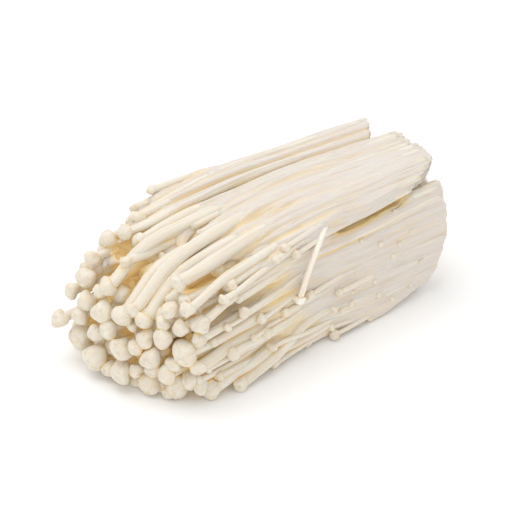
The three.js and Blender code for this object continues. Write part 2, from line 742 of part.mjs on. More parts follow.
/** Where the middle of a clump runs at x. */
function middleAt(clump, x) {
  const [u, v] = locate(STATION_START, ...middleOf(coreOutline(clump)));
  return placed(clump, x, u, v);
}

/** The point at x, u and v as a clump has moved. */
function placed(clump, x, u, v) {
  const [y, z] = place(x, u, v);
  const [shiftY, shiftZ] = shiftAt(clump, u, v, x);
  return new THREE.Vector3(x, y + shiftY, z + shiftZ);
}

/** The fused core of a clump: its outline at the base, carried along the stems and drawn in. */
function coreSolid(clump) {
  const outline = coreOutline(clump);
  const middle = middleOf(outline);
  const rings = CORE_RINGS.map(([share, drawn]) =>
    outline.map((point) => {
      const [inY, inZ] = [0, 1].map((c) => mix(middle[c], point[c], drawn));
      const [u, v] = locate(STATION_START, inY, inZ);
      const front = capFront(...place(FRONT_X, u, v)) + CORE_SETBACK;
      const x = mix(front, baseEnd(clump, u, v) - CORE_END_INSET, share);
      return placed(clump, x, u, v);
    }),
  );
  return skin(rings);
}

/** The flat underside that the weight of the bunch has pressed into its lowest stems. */
function restPad() {
  const length = REST_X[1] - REST_X[0];
  const pad = new THREE.BoxGeometry(length, 2 * REST_HALF_WIDTH, REST_DEPTH);
  pad.translate((REST_X[0] + REST_X[1]) / 2, 0, REST_DEPTH / 2);
  return toSolid(pad);
}

/** Everything below the table's surface. */
function belowTable() {
  const block = new THREE.BoxGeometry(400, 200, 40);
  block.translate(0, 0, -20);
  return toSolid(block);
}

/** The largest body of a solid, without the scraps that a cut can leave. */
function largestBody(solid) {
  const bodies = solid.decompose();
  bodies.sort((a, b) => b.volume() - a.volume());
  return bodies[0];
}

// ---- The three clumps ----

function growBunch() {
  const random = randomSource(SEED);
  const mushrooms = [...fullLength(random), ...sideShorts(random)];
  layOut(mushrooms);
  return mushrooms;
}

/** A clump as one solid, with mushrooms that are thicker by grow. */
function clumpSolid(clump, grown, grow) {
  const pieces = grown.map(([path, m]) => mushroomSolid(path, m, grow));
  return wasm.Manifold.union([coreSolid(clump), ...pieces]);
}

const mushrooms = growBunch();
const solids = {};
const keepOut = [];
for (const clump of ["lower", "upper", "back"]) {
  const core = coreSolid(clump);
  const shown = mushrooms.filter((m) => m.clump === clump && !isHidden(m));
  const grown = shown.map((m) => [rootedPath(m, core), m]);
  if (clump === "upper") grown.push([strayPath(), STRAY]);
  let solid = clumpSolid(clump, grown, 0).subtract(belowTable());
  if (clump === "lower") solid = solid.add(restPad());
  for (const other of keepOut) solid = solid.subtract(other);
  solids[clump] = largestBody(solid);
  keepOut.push(clumpSolid(clump, grown, NODE_GAP));
}

const FLESH = { lower: 0xf2e8d4, upper: 0xf5ecda, back: 0xf3e7d0 };

const bunch = new THREE.Group();
for (const [clump, solid] of Object.entries(solids)) {
  const flesh = new THREE.MeshStandardMaterial({
    color: FLESH[clump],
    roughness: 0.5,
    metalness: 0,
  });
  const mesh = new THREE.Mesh(toGeometry(solid), flesh);
  mesh.name = `${clump}_clump`;
  bunch.add(mesh);
}

export default bunch;
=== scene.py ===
"""An enoki mushroom bunch lying on its side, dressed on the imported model.

Lengths are millimetres in this file and metres in the meshes. +X runs along the stems from the caps
to the cut base and +Z is up. The bunch is grown by the same rules and the same seeded random draws
as its solids, so every stem and cap lies where its solid does.
"""
import math
from types import SimpleNamespace as Record

import bpy
import numpy as np
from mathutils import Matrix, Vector


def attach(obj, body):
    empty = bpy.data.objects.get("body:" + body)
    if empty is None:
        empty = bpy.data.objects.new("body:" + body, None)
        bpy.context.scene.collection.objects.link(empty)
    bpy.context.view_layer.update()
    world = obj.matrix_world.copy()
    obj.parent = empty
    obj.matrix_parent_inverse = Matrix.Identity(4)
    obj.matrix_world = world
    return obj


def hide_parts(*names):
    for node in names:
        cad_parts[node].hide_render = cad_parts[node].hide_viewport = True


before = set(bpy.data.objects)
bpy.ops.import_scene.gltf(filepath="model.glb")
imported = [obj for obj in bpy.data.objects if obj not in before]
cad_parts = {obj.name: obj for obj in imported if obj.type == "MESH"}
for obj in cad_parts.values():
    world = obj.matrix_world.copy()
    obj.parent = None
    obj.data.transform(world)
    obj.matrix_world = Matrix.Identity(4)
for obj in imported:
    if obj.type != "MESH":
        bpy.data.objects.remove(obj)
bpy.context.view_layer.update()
MM = 0.001

# ---- The bunch's outline ----
HALF_WIDTH, BASE_HEIGHT = 28, 57
TOP_POWER, FOOT_POWER, OUTLINE_SAMPLES = 5, 9, 480
# Changes towards the caps: by how much, from where, and over what length.
NEAR_SPLAY, FOOT_SPLAY, FAR_SPLAY, SAG = (10, 25, 85), (5.5, 82, 40), (3, 30, 90), (6, 10, 80)
NEAR_TOP_SHARE, FOOT_SHARE = 0.7, 0.4
BASE_LOW_X, BASE_BULGE, BASE_BULGE_AT = 66.5, 13.5, 0.47
UPPER_END_X, UPPER_END_SKEW, UPPER_EDGE_TORN = 79, 10, 16
BACK_END_X, BACK_END_SKEW = 78, 16
FRONT_X, FRONT_MIDDLE_Y, FRONT_ROUND = -77, 12, 0.0075
FRONT_LEAN, FRONT_CORNER, FRONT_HEIGHT, CAP_INSET = 14, 25, 50, 2

# ---- The mushrooms ----
STEM_SPACING, STEM_RADIUS, STEM_RADIUS_SPREAD = 3.7, 1.45, 0.4
LEAST_SETBACK, UPPER_SETBACK, SETBACK_SPREAD = 5, 14, 30
TUCKED_FROM, TUCKED_BY, NEAR_TUCKED_FROM, NEAR_TUCKED_BY = 0.9, 0.15, 0.8, 0.25
DROOP_RUN, BASE_TAPER, FUSED_X, FUSED_SHARE, CLUMP_GAP = 17, 0.82, 40, 0.78, 0.6
SPLIT_NEAR_Z, SPLIT_SLOPE, SPLIT_Y = 46, 0.25, 9
LIFTS = {"lower": (0, 0, 0, 40), "upper": (-1, 0.8, 5, 40), "back": (0, 4.4, -62, 28)}
BACK_TILT, BACK_TILT_U, BACK_TILT_RUN = 0.45, 0.3, 0.4
CORNER_RISE_Z, CORNER_RISE_X, CORNER_RISE_RUN, CORNER_RISE_V, CORNER_RUN_V = 7, 25, 45, 0.45, 0.35
CORNER_TOP_SHARE, CORNER_TOP_V, CORNER_TOP_RUN = 0.25, 0.8, 0.2
SHORT_SHOWS = 50
SEAT_JITTER, END_RAGGED = 0.7, 1.6
WANDER, WAVE, SHORT_WANDER, GATHER_RUN = (0.5, 1.4), (55, 105), 0.3, 45
FILL_CAP_RADIUS, FILL_CAP_SPREAD, CAP_ROOM = (3.4, 2.3), 0.5, 0.75
STATION_STEP, BASE_X, STATION_COUNT = 4, 80, 43
RELAX_ROUNDS, PUSH, LISTED_GIVE = 44, 0.3, 0.4
EVENING, PULL, CAP_PULL, CAP_PULL_RUN = 0.35, 0.05, 0.35, 8
SEED = 20417

# Mushrooms whose caps show at the front: x, y, z of the cap, its radius and the stem's. Then, where
# they aren't 0, the droop and how much higher the stem grows from the base.
FRONT_CAPS = [
    (-68.5, 1, 38, 3.6, 2.6, 12), (-69, -9, 31, 4, 2.6, 17), (-66.5, -13, 33.5, 2.8, 2.4, 15),
    (-64.5, -17, 31.5, 3.4, 2.6, 15), (-54, -25.5, 48.5, 3.2, 2.7), (-50, 5.5, 50, 3.2, 2.3, 2),
    (-43.6, 20, 50.5, 2.6, 2), (-79.5, 19.5, 19.5, 3.5, 1.7), (-73.5, 14, 21, 3.6, 1.8),
    (-57, 18.5, 47, 3.6, 1.8), (-65, 17, 42, 3.2, 1.7), (-68, 17, 34, 4.4, 1.9, 8),
    (-71, 23, 27, 3.2, 1.7), (-71.5, 12, 28, 3.6, 1.8), (-69.5, 4.5, 35.5, 3.2, 1.7, 4),
    (-71.5, 1, 29, 4.6, 1.9), (-60.5, 0, 47, 2.4, 1.6), (-73, 14, 11, 4.8, 2), (-73.5, 3, 19, 3.6, 1.8),
    (-72, -3.5, 23, 3.6, 1.8), (-66, -12, 27, 2.4, 1.6), (-65.5, -19.5, 25, 3.6, 1.8),
    (-62, -25.5, 27, 4, 1.9), (-61, -24.5, 33, 2.8, 1.7), (-59, -26, 38, 3.2, 1.7),
    (-54, -29.5, 42, 2.8, 1.7), (-57.5, -31, 32.5, 3.2, 1.7), (-53, -36, 28.5, 2.8, 2),
    (-57.5, -34, 22, 4.8, 2.2), (-70.5, -10, 18, 4.4, 1.9), (-68, -16, 20, 3, 1.7),
    (-65.5, -22, 18, 4, 1.9), (-74.5, 3, 8.5, 5.4, 2.1), (-64, -21.5, 12, 3.2, 1.7),
    (-71.5, -10, 7, 4.4, 1.9), (-72, -3, 5.5, 3.4, 1.8), (-68, -15.5, 9.5, 2.8, 1.7),
    (-65, -18.5, 4.8, 4.4, 1.9), (-62.5, -28, 12.5, 4, 2.1), (-60.5, -30.5, 17.5, 3.2, 1.9),
    (-55, -37.5, 17.5, 3.2, 2.1), (-58.5, -29, 4.6, 4.4, 2.1, 0, 3),
    (-52.5, -30.5, 5.5, 2.4, 1.8, 0, 4), (-61, -27, 3.4, 2.6, 1.7), (-56, -33.5, 41, 2.8, 1.7, 4),
    (-52, -36, 34.5, 3.6, 1.8, 6), (-39.5, 26, 51.5, 2.2, 1.6), (-32, 25, 57.5, 1.8, 1.5),
    (-29, 29.5, 54.5, 1.8, 1.5), (-48, -36, 4.2, 3.6, 2.1, 0, 6), (-36, -38.5, 3, 3, 2, 0, 10),
    (-39, -38, 17.5, 2.6, 1.9),
]

# Shorter mushrooms that lie against the near side: x, y, z of the cap and its radius.
NEAR_CAPS = [
    (-17.5, -35.5, 2.2, 2.1), (-15, -33, 47, 1.9), (-10, -32, 50.5, 1.7), (-5, -32, 46, 1.8),
    (-32.5, -36.5, 32, 2.4), (-23.5, -35, 25.5, 2), (-11, -33.5, 22.5, 2),
    (-21.5, -35.5, 18.5, 2.2), (-18.5, -35.5, 10.5, 2.1), (2, -32.5, 25.5, 1.8),
    (18, -31.5, 20, 1.6), (14.5, -31.5, 13, 1.5), (14, -31.5, 5.5, 1.6), (2.5, -31, 2.4, 1.8),
    (14, -33.5, 2.1, 2), (-41, -37, 30, 1.7), (-42, -36.5, 41.5, 2), (-28.5, -36.5, 19, 1.7),
    (34, -32, 2, 1.5),
]
SIDE_SHORTS, SIDE_ANGLES = 12, (-0.95, 0.5)
SIDE_CAP_X, SIDE_CAP_RADIUS = (-48, 42), (1.4, 2.4)
SHORT_STEM_RADIUS, SHORT_ROOT_INSET = 1.05, 2.2

# The stray mushroom that has sprung out of the cleft.
STRAY_PATH = [
    (22, -21, 47), (17, -23.5, 48.2), (12, -28, 49), (5, -32, 43.5), (0.3, -33.4, 36),
    (-4.1, -34, 26.1),
]
STRAY_STEM, STRAY_CAP = (1.55, 1.1), 2.2


# ---- Small helpers ----


def mix(a, b, t):
    return a + (b - a) * t


def smooth(t):
    c = np.clip(t, 0, 1)
    return c * c * (3 - 2 * c)


def unit(v):
    return v / np.maximum(np.linalg.norm(v, axis=-1, keepdims=True), 1e-9)


def ease(x, start, run):
    """From 0 where x is at start to 1 where it is run further on."""
    return smooth((x - start) / run)


def each(lower, upper, back):
    """A value for each clump."""
    return {"lower": lower, "upper": upper, "back": back}


WORD = 2**32


def random_source(seed):
    """The solids' seeded random numbers, uniform from 0 to 1."""
    state = seed

    def draw():
        nonlocal state
        state = (state + 0x6D2B79F5) % WORD
        t = (state ^ (state >> 15)) * (state | 1) % WORD
        t ^= (t + (t ^ (t >> 7)) * (t | 61)) % WORD
        return (t ^ (t >> 14)) / WORD

    return draw


def add_object(name, data):
    made = bpy.data.objects.new(name, data)
    bpy.context.collection.objects.link(made)
    return made


# ---- The outline, as in the solids ----


def towards_caps(x, by, from_x, run):
    return by * smooth((from_x - x) / run)


def near_side(x, v):
    splay = towards_caps(x, *NEAR_SPLAY) * mix(1, NEAR_TOP_SHARE, np.clip(v, 0, 1))
    foot = towards_caps(x, *FOOT_SPLAY) * smooth(1 - v / FOOT_SHARE)
    return -HALF_WIDTH - splay - foot


def far_side(x):
    return HALF_WIDTH + towards_caps(x, *FAR_SPLAY)


def top_height(x):
    return BASE_HEIGHT - towards_caps(x, *SAG)


def place(x, u, v):
    return mix(near_side(x, v), far_side(x), (u + 1) / 2), top_height(x) * v


def locate(x, y, z):
    v = z / top_height(x)
    near = near_side(x, v)
    return 2 * (y - near) / (far_side(x) - near) - 1, v


def cap_front(y, z):
    rise = (np.maximum(z, 0) / FRONT_HEIGHT) ** 3
    corner = np.maximum(0, y / HALF_WIDTH) ** 2
    front_round = FRONT_ROUND * (y - FRONT_MIDDLE_Y) ** 2
    return FRONT_X + front_round + (FRONT_LEAN + FRONT_CORNER * corner) * rise


def clump_of(y, z):
    if z < SPLIT_NEAR_Z - SPLIT_SLOPE * (y + HALF_WIDTH):
        return "lower"
    return "back" if y > SPLIT_Y else "upper"


def base_end(clump, u, v):
    if clump == "upper":
        low = np.clip((1 - v) / (1 - SPLIT_NEAR_Z / BASE_HEIGHT), 0, 1)
        return UPPER_END_X - (UPPER_END_SKEW + UPPER_EDGE_TORN * low) * np.clip(-u, 0, 1) ** 3
    if clump == "back":
        return BACK_END_X - BACK_END_SKEW * np.clip(1 - u, 0, 1)
    return BASE_LOW_X + BASE_BULGE * (1 - ((v - BASE_BULGE_AT) / BASE_BULGE_AT) ** 2)


def shift_at(clump, u, v, x):
    lift_y, lift_z, from_x, run = LIFTS[clump]
    share = ease(x, from_x, run)
    tilted = mix(BACK_TILT, 1, smooth((u - BACK_TILT_U) / BACK_TILT_RUN))
    corner = np.clip(-u, 0, 1) ** 2 * np.clip((v - CORNER_RISE_V) / CORNER_RUN_V, 0, 1)
    eased = mix(1, CORNER_TOP_SHARE, np.clip((v - CORNER_TOP_V) / CORNER_TOP_RUN, 0, 1))
    rise = CORNER_RISE_Z * ease(x, CORNER_RISE_X, CORNER_RISE_RUN)
    up = lift_z * share * (tilted if clump == "back" else 1)
    return lift_y * share, up + rise * corner * eased


def placed(clump, x, u, v):
    y, z = place(x, u, v)
    shift_y, shift_z = shift_at(clump, u, v, x)
    return y + shift_y, z + shift_z


def outline_at(angle, inset):
    c, s = math.cos(angle), math.sin(angle)
    power = FOOT_POWER if s < 0 else TOP_POWER
    reach = (abs(c) ** power + abs(s) ** power) ** (-1 / power)
    half = BASE_HEIGHT / 2
    return (HALF_WIDTH - inset) * c * reach, half + (half - inset) * s * reach


def run_along(path):
    """How far each point of a path lies along it."""
    return np.concatenate([[0], np.cumsum(np.linalg.norm(np.diff(path, axis=0), axis=1))])


def evenly(path, spacing, rounding=0.0):
    """Points spaced evenly along a closed path."""
    run = run_along(path)
    at = np.linspace(0, run[-1], int(run[-1] / spacing + rounding), endpoint=False)
    return np.stack([np.interp(at, run, path[:, c]) for c in range(2)], 1)


def outline_points(inset, spacing):
    turns = np.linspace(0, 2 * math.pi, OUTLINE_SAMPLES + 1)
    return evenly(np.array([outline_at(turn, inset) for turn in turns]), spacing, 0.5).tolist()


# ---- Growing the mushrooms, in the solids' order of random draws ----


def mushroom(kind, ring, base, cap, radius, stem_radius, droop, random):
    u, v = locate(BASE_X, *base)
    clump = clump_of(*base)
    shift_y, shift_z = shift_at(clump, u, v, cap[0])
    cap_u, cap_v = locate(cap[0], cap[1] - shift_y, cap[2] + droop - shift_z)
    m = Record(kind=kind, ring=ring, clump=clump, u=u, v=v, cap_x=cap[0], cap_u=cap_u, cap_v=cap_v)
    m.cap_radius, m.stem_radius, m.droop = radius, stem_radius, droop
    m.end_x = base_end(clump, u, v) + END_RAGGED * (random() - 0.5)
    m.wander = mix(*WANDER, random())
    m.wave = mix(*WAVE, random())
    m.phase = 2 * math.pi * random(), 2 * math.pi * random()
    return m


def full_length(random):
    seats = []
    ring = 0
    while STEM_RADIUS + ring * STEM_SPACING < HALF_WIDTH - 1:
        for y, z in outline_points(STEM_RADIUS + ring * STEM_SPACING, STEM_SPACING):
            at = (y + SEAT_JITTER * (random() - 0.5), z + SEAT_JITTER * (random() - 0.5))
            seats.append(Record(ring=ring, at=at, taken=False))
        ring += 1
    made = []
    for x, y, z, radius, stem_radius, *bend in FRONT_CAPS:
        droop, rise = (*bend, 0, 0)[:2]
        u, v = locate(x, y, z + droop + rise)
        wanted = place(BASE_X, np.clip(u, -0.97, 0.97), np.clip(v, 0.03, 0.97))
        free = [s for s in seats if not s.taken]
        best = min(free, key=lambda s: math.hypot(s.at[0] - wanted[0], s.at[1] - wanted[1]))
        best.taken = True
        made.append(
            mushroom("front", best.ring, best.at, (x, y, z), radius, stem_radius, droop, random)
        )
    for seat in seats:
        if seat.taken:
            continue
        at = seat.at
        upper = clump_of(*at) == "upper"
        setback = (UPPER_SETBACK if upper else LEAST_SETBACK) + SETBACK_SPREAD * random() ** 2
        u, v = locate(BASE_X, *at)
        if upper and v > TUCKED_FROM:
            v -= TUCKED_BY
        if clump_of(*at) == "lower" and u < -NEAR_TUCKED_FROM:
            u += NEAR_TUCKED_BY
        y, z = place(FRONT_X, u, v)
        x = cap_front(y, z) + CAP_INSET + setback
        y, z = placed(clump_of(*place(BASE_X, u, v)), x, u, v)
        behind = setback / (LEAST_SETBACK + SETBACK_SPREAD)
        radius = mix(*FILL_CAP_RADIUS, behind) + FILL_CAP_SPREAD * (random() - 0.5)
        stem_radius = STEM_RADIUS + STEM_RADIUS_SPREAD * random()
        made.append(mushroom("fill", seat.ring, at, (x, y, z), radius, stem_radius, 0, random))
    return made


def side_shorts(random):
    made = []
    for x, y, z, radius in NEAR_CAPS:
        v = np.clip(z / top_height(x), 0.03, 0.93)
        base = outline_at(math.pi - math.asin(np.clip(2 * v - 1, -0.7, 0.7)), SHORT_ROOT_INSET)
        made.append(mushroom("short", -1, base, (x, y, z), radius, SHORT_STEM_RADIUS, 0, random))
    for i in range(SIDE_SHORTS):
        angle = mix(*SIDE_ANGLES, (i + random()) / SIDE_SHORTS)
        base = outline_at(angle, SHORT_ROOT_INSET)
        x = mix(*SIDE_CAP_X, random())
        radius = mix(*SIDE_CAP_RADIUS, random())
        u, v = locate(BASE_X, *base)
        y, z = placed(clump_of(*place(BASE_X, u, v)), x, u, v)
        out = SHORT_ROOT_INSET + radius
        cap = (x, y + out * math.cos(angle), z + out * math.sin(angle))
        made.append(mushroom("short", -1, base, cap, radius, SHORT_STEM_RADIUS, 0, random))
    return made


STATIONS = BASE_X - STATION_STEP * np.arange(STATION_COUNT)


def towards_cap(m, x):
    return np.clip((m.end_x - x) / (m.end_x - m.cap_x), 0, 1)


def wanted_line(m):
    x = STATIONS
    bend = smooth((m.cap_x + GATHER_RUN - x) / GATHER_RUN)
    y, z = place(x, mix(m.u, m.cap_u, bend), mix(m.v, m.cap_v, bend))
    shift_y, shift_z = shift_at(m.clump, m.u, m.v, x)
    fall = m.droop * (1 - smooth((x - m.cap_x) / DROOP_RUN))
    sway = m.wander * towards_cap(m, x) * (1 - 0.7 * bend)
    if m.kind == "short":
        sway = SHORT_WANDER
    turn = 2 * math.pi * x / m.wave
    y = y + shift_y + sway * np.sin(turn + m.phase[0])
    z = z + shift_z - fall + sway * np.sin(turn + m.phase[1])
    return np.stack([y, z], 1)


def room_along(m):
    x = STATIONS
    half = CAP_ROOM * m.cap_radius
    room = m.stem_radius * np.where(x > FUSED_X, FUSED_SHARE, 1)
    room = np.where(x < m.cap_x + half, m.cap_radius, room)
    room[(x < m.cap_x - half) | (x > m.end_x + STATION_STEP)] = 0
    if m.kind == "short":
        room[x > m.cap_x + 0.6 * SHORT_SHOWS] = 0
    return room


def lay_out(mushrooms):
    """Moves the stems apart where they overlap, each smooth and near its own line."""
    wanted = np.array([wanted_line(m) for m in mushrooms])
    room = np.array([room_along(m) for m in mushrooms])
    cap_x = np.array([m.cap_x for m in mushrooms])
    kind = np.array([m.kind for m in mushrooms])
    clump = np.array([m.clump for m in mushrooms])
    give = np.where(kind == "front", LISTED_GIVE, 1.0)[:, None]
    near_cap = (abs(STATIONS[None] - cap_x[:, None]) < CAP_PULL_RUN) & (kind != "fill")[:, None]
    pull = np.where(near_cap, CAP_PULL, PULL)[..., None]
    here = [np.flatnonzero(room[:, k] > 0) for k in range(STATION_COUNT)]
    least = []
    for k, who in enumerate(here):
        r = room[who, k]
        apart = (clump[who][:, None] != clump[who][None]) * CLUMP_GAP
        least.append(r[:, None] + r[None] + apart)
    line = wanted.copy()
    for _ in range(RELAX_ROUNDS):
        for k, who in enumerate(here):
            p = line[who, k]
            d = p[None] - p[:, None]
            distance = np.sqrt(d[..., 0] ** 2 + d[..., 1] ** 2)
            push = PUSH * np.maximum(least[k] - distance, 0) / np.maximum(distance, 0.01)
            np.fill_diagonal(push, 0)
            line[who, k] = p - give[who] * (push[..., None] * d).sum(1)
        before = np.concatenate([line[:, :1], line[:, :-1]], 1)
        after = np.concatenate([line[:, 1:], line[:, -1:]], 1)
        even = mix(line, (before + after) / 2, EVENING)
        line = mix(even, wanted, pull)
        line[..., 1] = np.maximum(line[..., 1], room)
    for m, at in zip(mushrooms, line):
        m.line = at


def grow_bunch():
    random = random_source(SEED)
    mushrooms = full_length(random) + side_shorts(random)
    lay_out(mushrooms)
    return mushrooms


# ---- The hollow under the upper clump's near edge ----
RECESS_FROM, RECESS_TO = (4, 22), (-67, 17)  # it deepens from x 4 over 22, and from 67 back over 17
RECESS_BELOW, RECESS_ACROSS = 6.0, 15  # how far below the cleft it reaches, and over what it deepens
RECESS_SHIFT = 6.0, -3.4  # how far it pushes the stems in y and z
# The hollow's painted brown shade, and how it fades downwards.
RECESS_SHADE, RECESS_POWER = 1.5, 1.6


def above_cleft(y, z):
    """How far a point of the base lies above the lower clump's cleft."""
    return z - SPLIT_NEAR_Z + SPLIT_SLOPE * (y + HALF_WIDTH)


def recess(x, y, z):
    """The share of the hollow's depth at x, for tissue from y, z at the base."""
    along = ease(x, *RECESS_FROM) * ease(-x, *RECESS_TO)
    return along * ease(above_cleft(y, z), -RECESS_BELOW, RECESS_BELOW) * smooth(-y / RECESS_ACROSS)


def hollow_out(mushrooms):
    """Sinks the lower clump's stems into the hollow."""
    for m in mushrooms:
        if m.clump == "lower":
            deep = recess(STATIONS, *place(BASE_X, m.u, m.v))
            m.line = m.line + deep[:, None] * RECESS_SHIFT


# ---- Mushrooms too fine for the solids ----

# Between the listed ones: x, y, z of the cap and its radius.
EXTRA_CAPS = [
    (-52, -34, 9.5, 2.3), (-49, -35.5, 13.5, 2.0), (-44, -36, 8, 1.9), (-46, -35, 24, 2),
    (-48.2, 1.9, 47, 2.0), (-37, -15, 45, 1.8), (-34, -35, 38.5, 1.7),
]
# On top of the upper clump, without a cap: x and y of the stem's end.
CAPLESS = [
    (-45, 7), (-41, 4), (-42, 0.5), (-35, 2), (-30, -1), (-31, -7), (-24, -4.5), (-25, -11),
    (-17, -8), (-34, 6.5), (-26, 3), (-18, -1),
]
EXTRA_RADIUS, CAPLESS_RADIUS, CAPLESS_SINK = 1.6, 1.45, 0.4
EXTRA_SEATS = (-0.93, 0.93), (0.05, 0.965)  # limits of their seats' shares u and v


def extras():
    random = random_source(SEED + 1)
    caps = [(*cap, EXTRA_RADIUS) for cap in EXTRA_CAPS]
    for x, y in CAPLESS:
        z = top_height(x) - CAPLESS_RADIUS - CAPLESS_SINK * random()
        caps.append((x, y, z, CAPLESS_RADIUS, CAPLESS_RADIUS))
    made = []
    for *cap, radius, stem_radius in caps:
        seat = [np.clip(share, *limits) for share, limits in zip(locate(*cap), EXTRA_SEATS)]
        base = place(BASE_X, *seat)
        m = mushroom("front", 0, base, cap, radius, stem_radius, 0, random)
        m.line = wanted_line(m)
        made.append(m)
    return made


# ---- Where the tissue lies in each cross-section ----
GRID_STEP = 1.0
GRID_X = np.arange(-86.0, 82.0, GRID_STEP)
HEAD_LENGTH = 0.62  # half a cap's length as a share of its radius
ROOT_INSET, SHORT_HIDES = 3.0, 12


def cubic(a, b, c, d, t):
    """The point at share t between b and c on a smooth curve through all four."""
    return 0.5 * (2 * b + (c - a) * t + (2 * a - 5 * b + 4 * c - d) * t**2 + (3 * b - a - 3 * c + d) * t**3)


def line_at(m, x):
    """The centre line at x, cubic through the stations."""
    line = np.concatenate([m.line[:1], m.line, m.line[-1:]])
    k = np.clip((BASE_X - x) / STATION_STEP, 0, STATION_COUNT - 1.001)
    low = np.floor(k).astype(int)
    return cubic(*(line[low + i] for i in range(4)), (k - low)[:, None])


def cap_centre(m):
    return np.array([m.cap_x, *line_at(m, np.array([m.cap_x]))[0]])


def stem_radius_at(m, x):
    return m.stem_radius * mix(BASE_TAPER, 1, smooth(2 * towards_cap(m, x)))


def root_x(m):
    """Where a stem starts, just inside the cut face or further inside the bunch."""
    cut = base_end(m.clump, m.u, m.v) - ROOT_INSET
    return min(cut, m.cap_x + SHORT_SHOWS + SHORT_HIDES) if m.kind == "short" else cut


def cross_sections(mushrooms):
    """Centres and radii of all stems and caps on the fine grid."""
    centres = np.array([line_at(m, GRID_X) for m in mushrooms])
    radii = np.zeros(centres.shape[:2])
    for m, r in zip(mushrooms, radii):
        off = (GRID_X - m.cap_x) / (HEAD_LENGTH * m.cap_radius)
        head = m.cap_radius * np.sqrt(np.clip(1 - off**2, 0, 1))
        r[:] = np.where(GRID_X < m.cap_x, head, np.maximum(stem_radius_at(m, GRID_X), head))
        r[GRID_X > root_x(m)] = 0
    return centres.transpose(1, 0, 2), radii.T


def row_of(x):
    """The row of the grid nearest to x."""
    return np.clip(np.rint((x - GRID_X[0]) / GRID_STEP).astype(int), 0, len(GRID_X) - 1)


# ---- Pockets between the caps at the front, where the unlisted mushrooms are shorter ----

# x, y, z, reach, by how much shorter, and how much painted shade the pocket's inside gets.
POCKETS = [
    (-54, 14, 40, 9, 13, 0.9), (-56, -34, 3, 4, 12, 0), (-57, -22.5, 18, 7, 10, 1.35),
    (-45, -4, 49, 4, 0, 0.45),
]
POCKET_DEEP, POCKET_SOFT = 7, 5  # the painted shade lies this much further in and fades out over this


def open_pockets(mushrooms):
    for m in mushrooms:
        if m.kind == "fill":
            cap = cap_centre(m)
            for *at, reach, shorter, _ in POCKETS:
                if np.linalg.norm(cap - at) < reach:
                    m.cap_x += shorter


def pocket_shade(points):
    shade = np.zeros(len(points))
    for x, y, z, reach, _, shade_value in POCKETS:
        away = np.linalg.norm(points - (x + POCKET_DEEP, y, z), axis=1)
        shade = np.maximum(shade, shade_value * ease(-away, -reach - POCKET_SOFT, POCKET_SOFT))
    return shade


# ---- How shut in each point is, which sets its painted shade, gold and then brown, and its painted glow ----
NO_OWNER = -1  # for tissue and pins, which belong to no listed stem
CAP_SHARE, TISSUE_SHARE, TISSUE_INSIDE = 1.5, 0.12, 0.45
# From what depth inside the sides and behind the front it counts, and over what run.
SIDE_DEPTH, FRONT_DEPTH, FOOT_DEPTH = (2.5, 8), (3, 9), 4
# Painted shade deep inside the bunch, stronger near the table.
INSIDE_SHADE, INSIDE_HEIGHT = (1.1, 0.85), 40  # on the table and from this height up
FAN = (-62, 0.6), (-31, 1), (0, 1.2), (31, 1), (62, 0.6)  # rays outwards: degrees and weight
FAN_REACH, NOTHING_MET, CHUNK = 1.6, 50, 4000


def depth_inside(points):
    """How deep points lie behind the open front: 0 outside, 1 deep inside."""
    x, y, z = points.T
    near, far = near_side(x, z / top_height(x)), far_side(x)
    side = np.minimum(np.minimum(y - near, far - y), np.minimum(top_height(x) - z, z + FOOT_DEPTH))
    behind = x - cap_front(y, z)
    return ease(side, *SIDE_DEPTH) * ease(behind, *FRONT_DEPTH)


def chord(rel, ray, r):
    """How far along rays the middles of circles lie, and half the rays' lengths inside them."""
    aside = rel[..., 0] * ray[:, None, 1] - rel[..., 1] * ray[:, None, 0]
    return (rel * ray[:, None]).sum(2), np.sqrt(np.maximum(r**2 - aside**2, 0))


def closeness(points, outward, owner, sections):
    """How close other stems are to points: 0 in the open, 1 where they touch."""
    centres, radii = sections
    result = np.zeros(len(points))
    for start in range(0, len(points), CHUNK):
        part = slice(start, start + CHUNK)
        rows = row_of(points[part, 0])
        rel = centres[rows] - points[part, None, 1:]
        r = radii[rows].copy()
        owned = np.flatnonzero(owner[part] != NO_OWNER)
        r[owned, owner[part][owned]] = 0
        n = outward[part]
        for degrees, weight in FAN:
            c, s = math.cos(math.radians(degrees)), math.sin(math.radians(degrees))
            ray = np.stack([c * n[:, 0] - s * n[:, 1], s * n[:, 0] + c * n[:, 1]], 1)
            along, half = chord(rel, ray, r)
            enter = np.where((half > 0) & (along > 0), np.maximum(along - half, 0), NOTHING_MET).min(1)
            result[part] += weight * np.exp(-enter / FAN_REACH)
    return result / sum(weight for _, weight in FAN)


def painted_shade(points, outward, owner, sections, share):
    tissue = owner == NO_OWNER
    close = np.where(tissue, TISSUE_SHARE, share) * closeness(points, outward, owner, sections)
    inside = mix(*INSIDE_SHADE, smooth(points[:, 2] / INSIDE_HEIGHT)) * depth_inside(points)
    return np.maximum.reduce([close, np.where(tissue, TISSUE_INSIDE, 1) * inside, pocket_shade(points)])


# ---- Meshes ----
GRAIN_SPREAD = 400  # each stem and cap has its own part of the pattern, within this


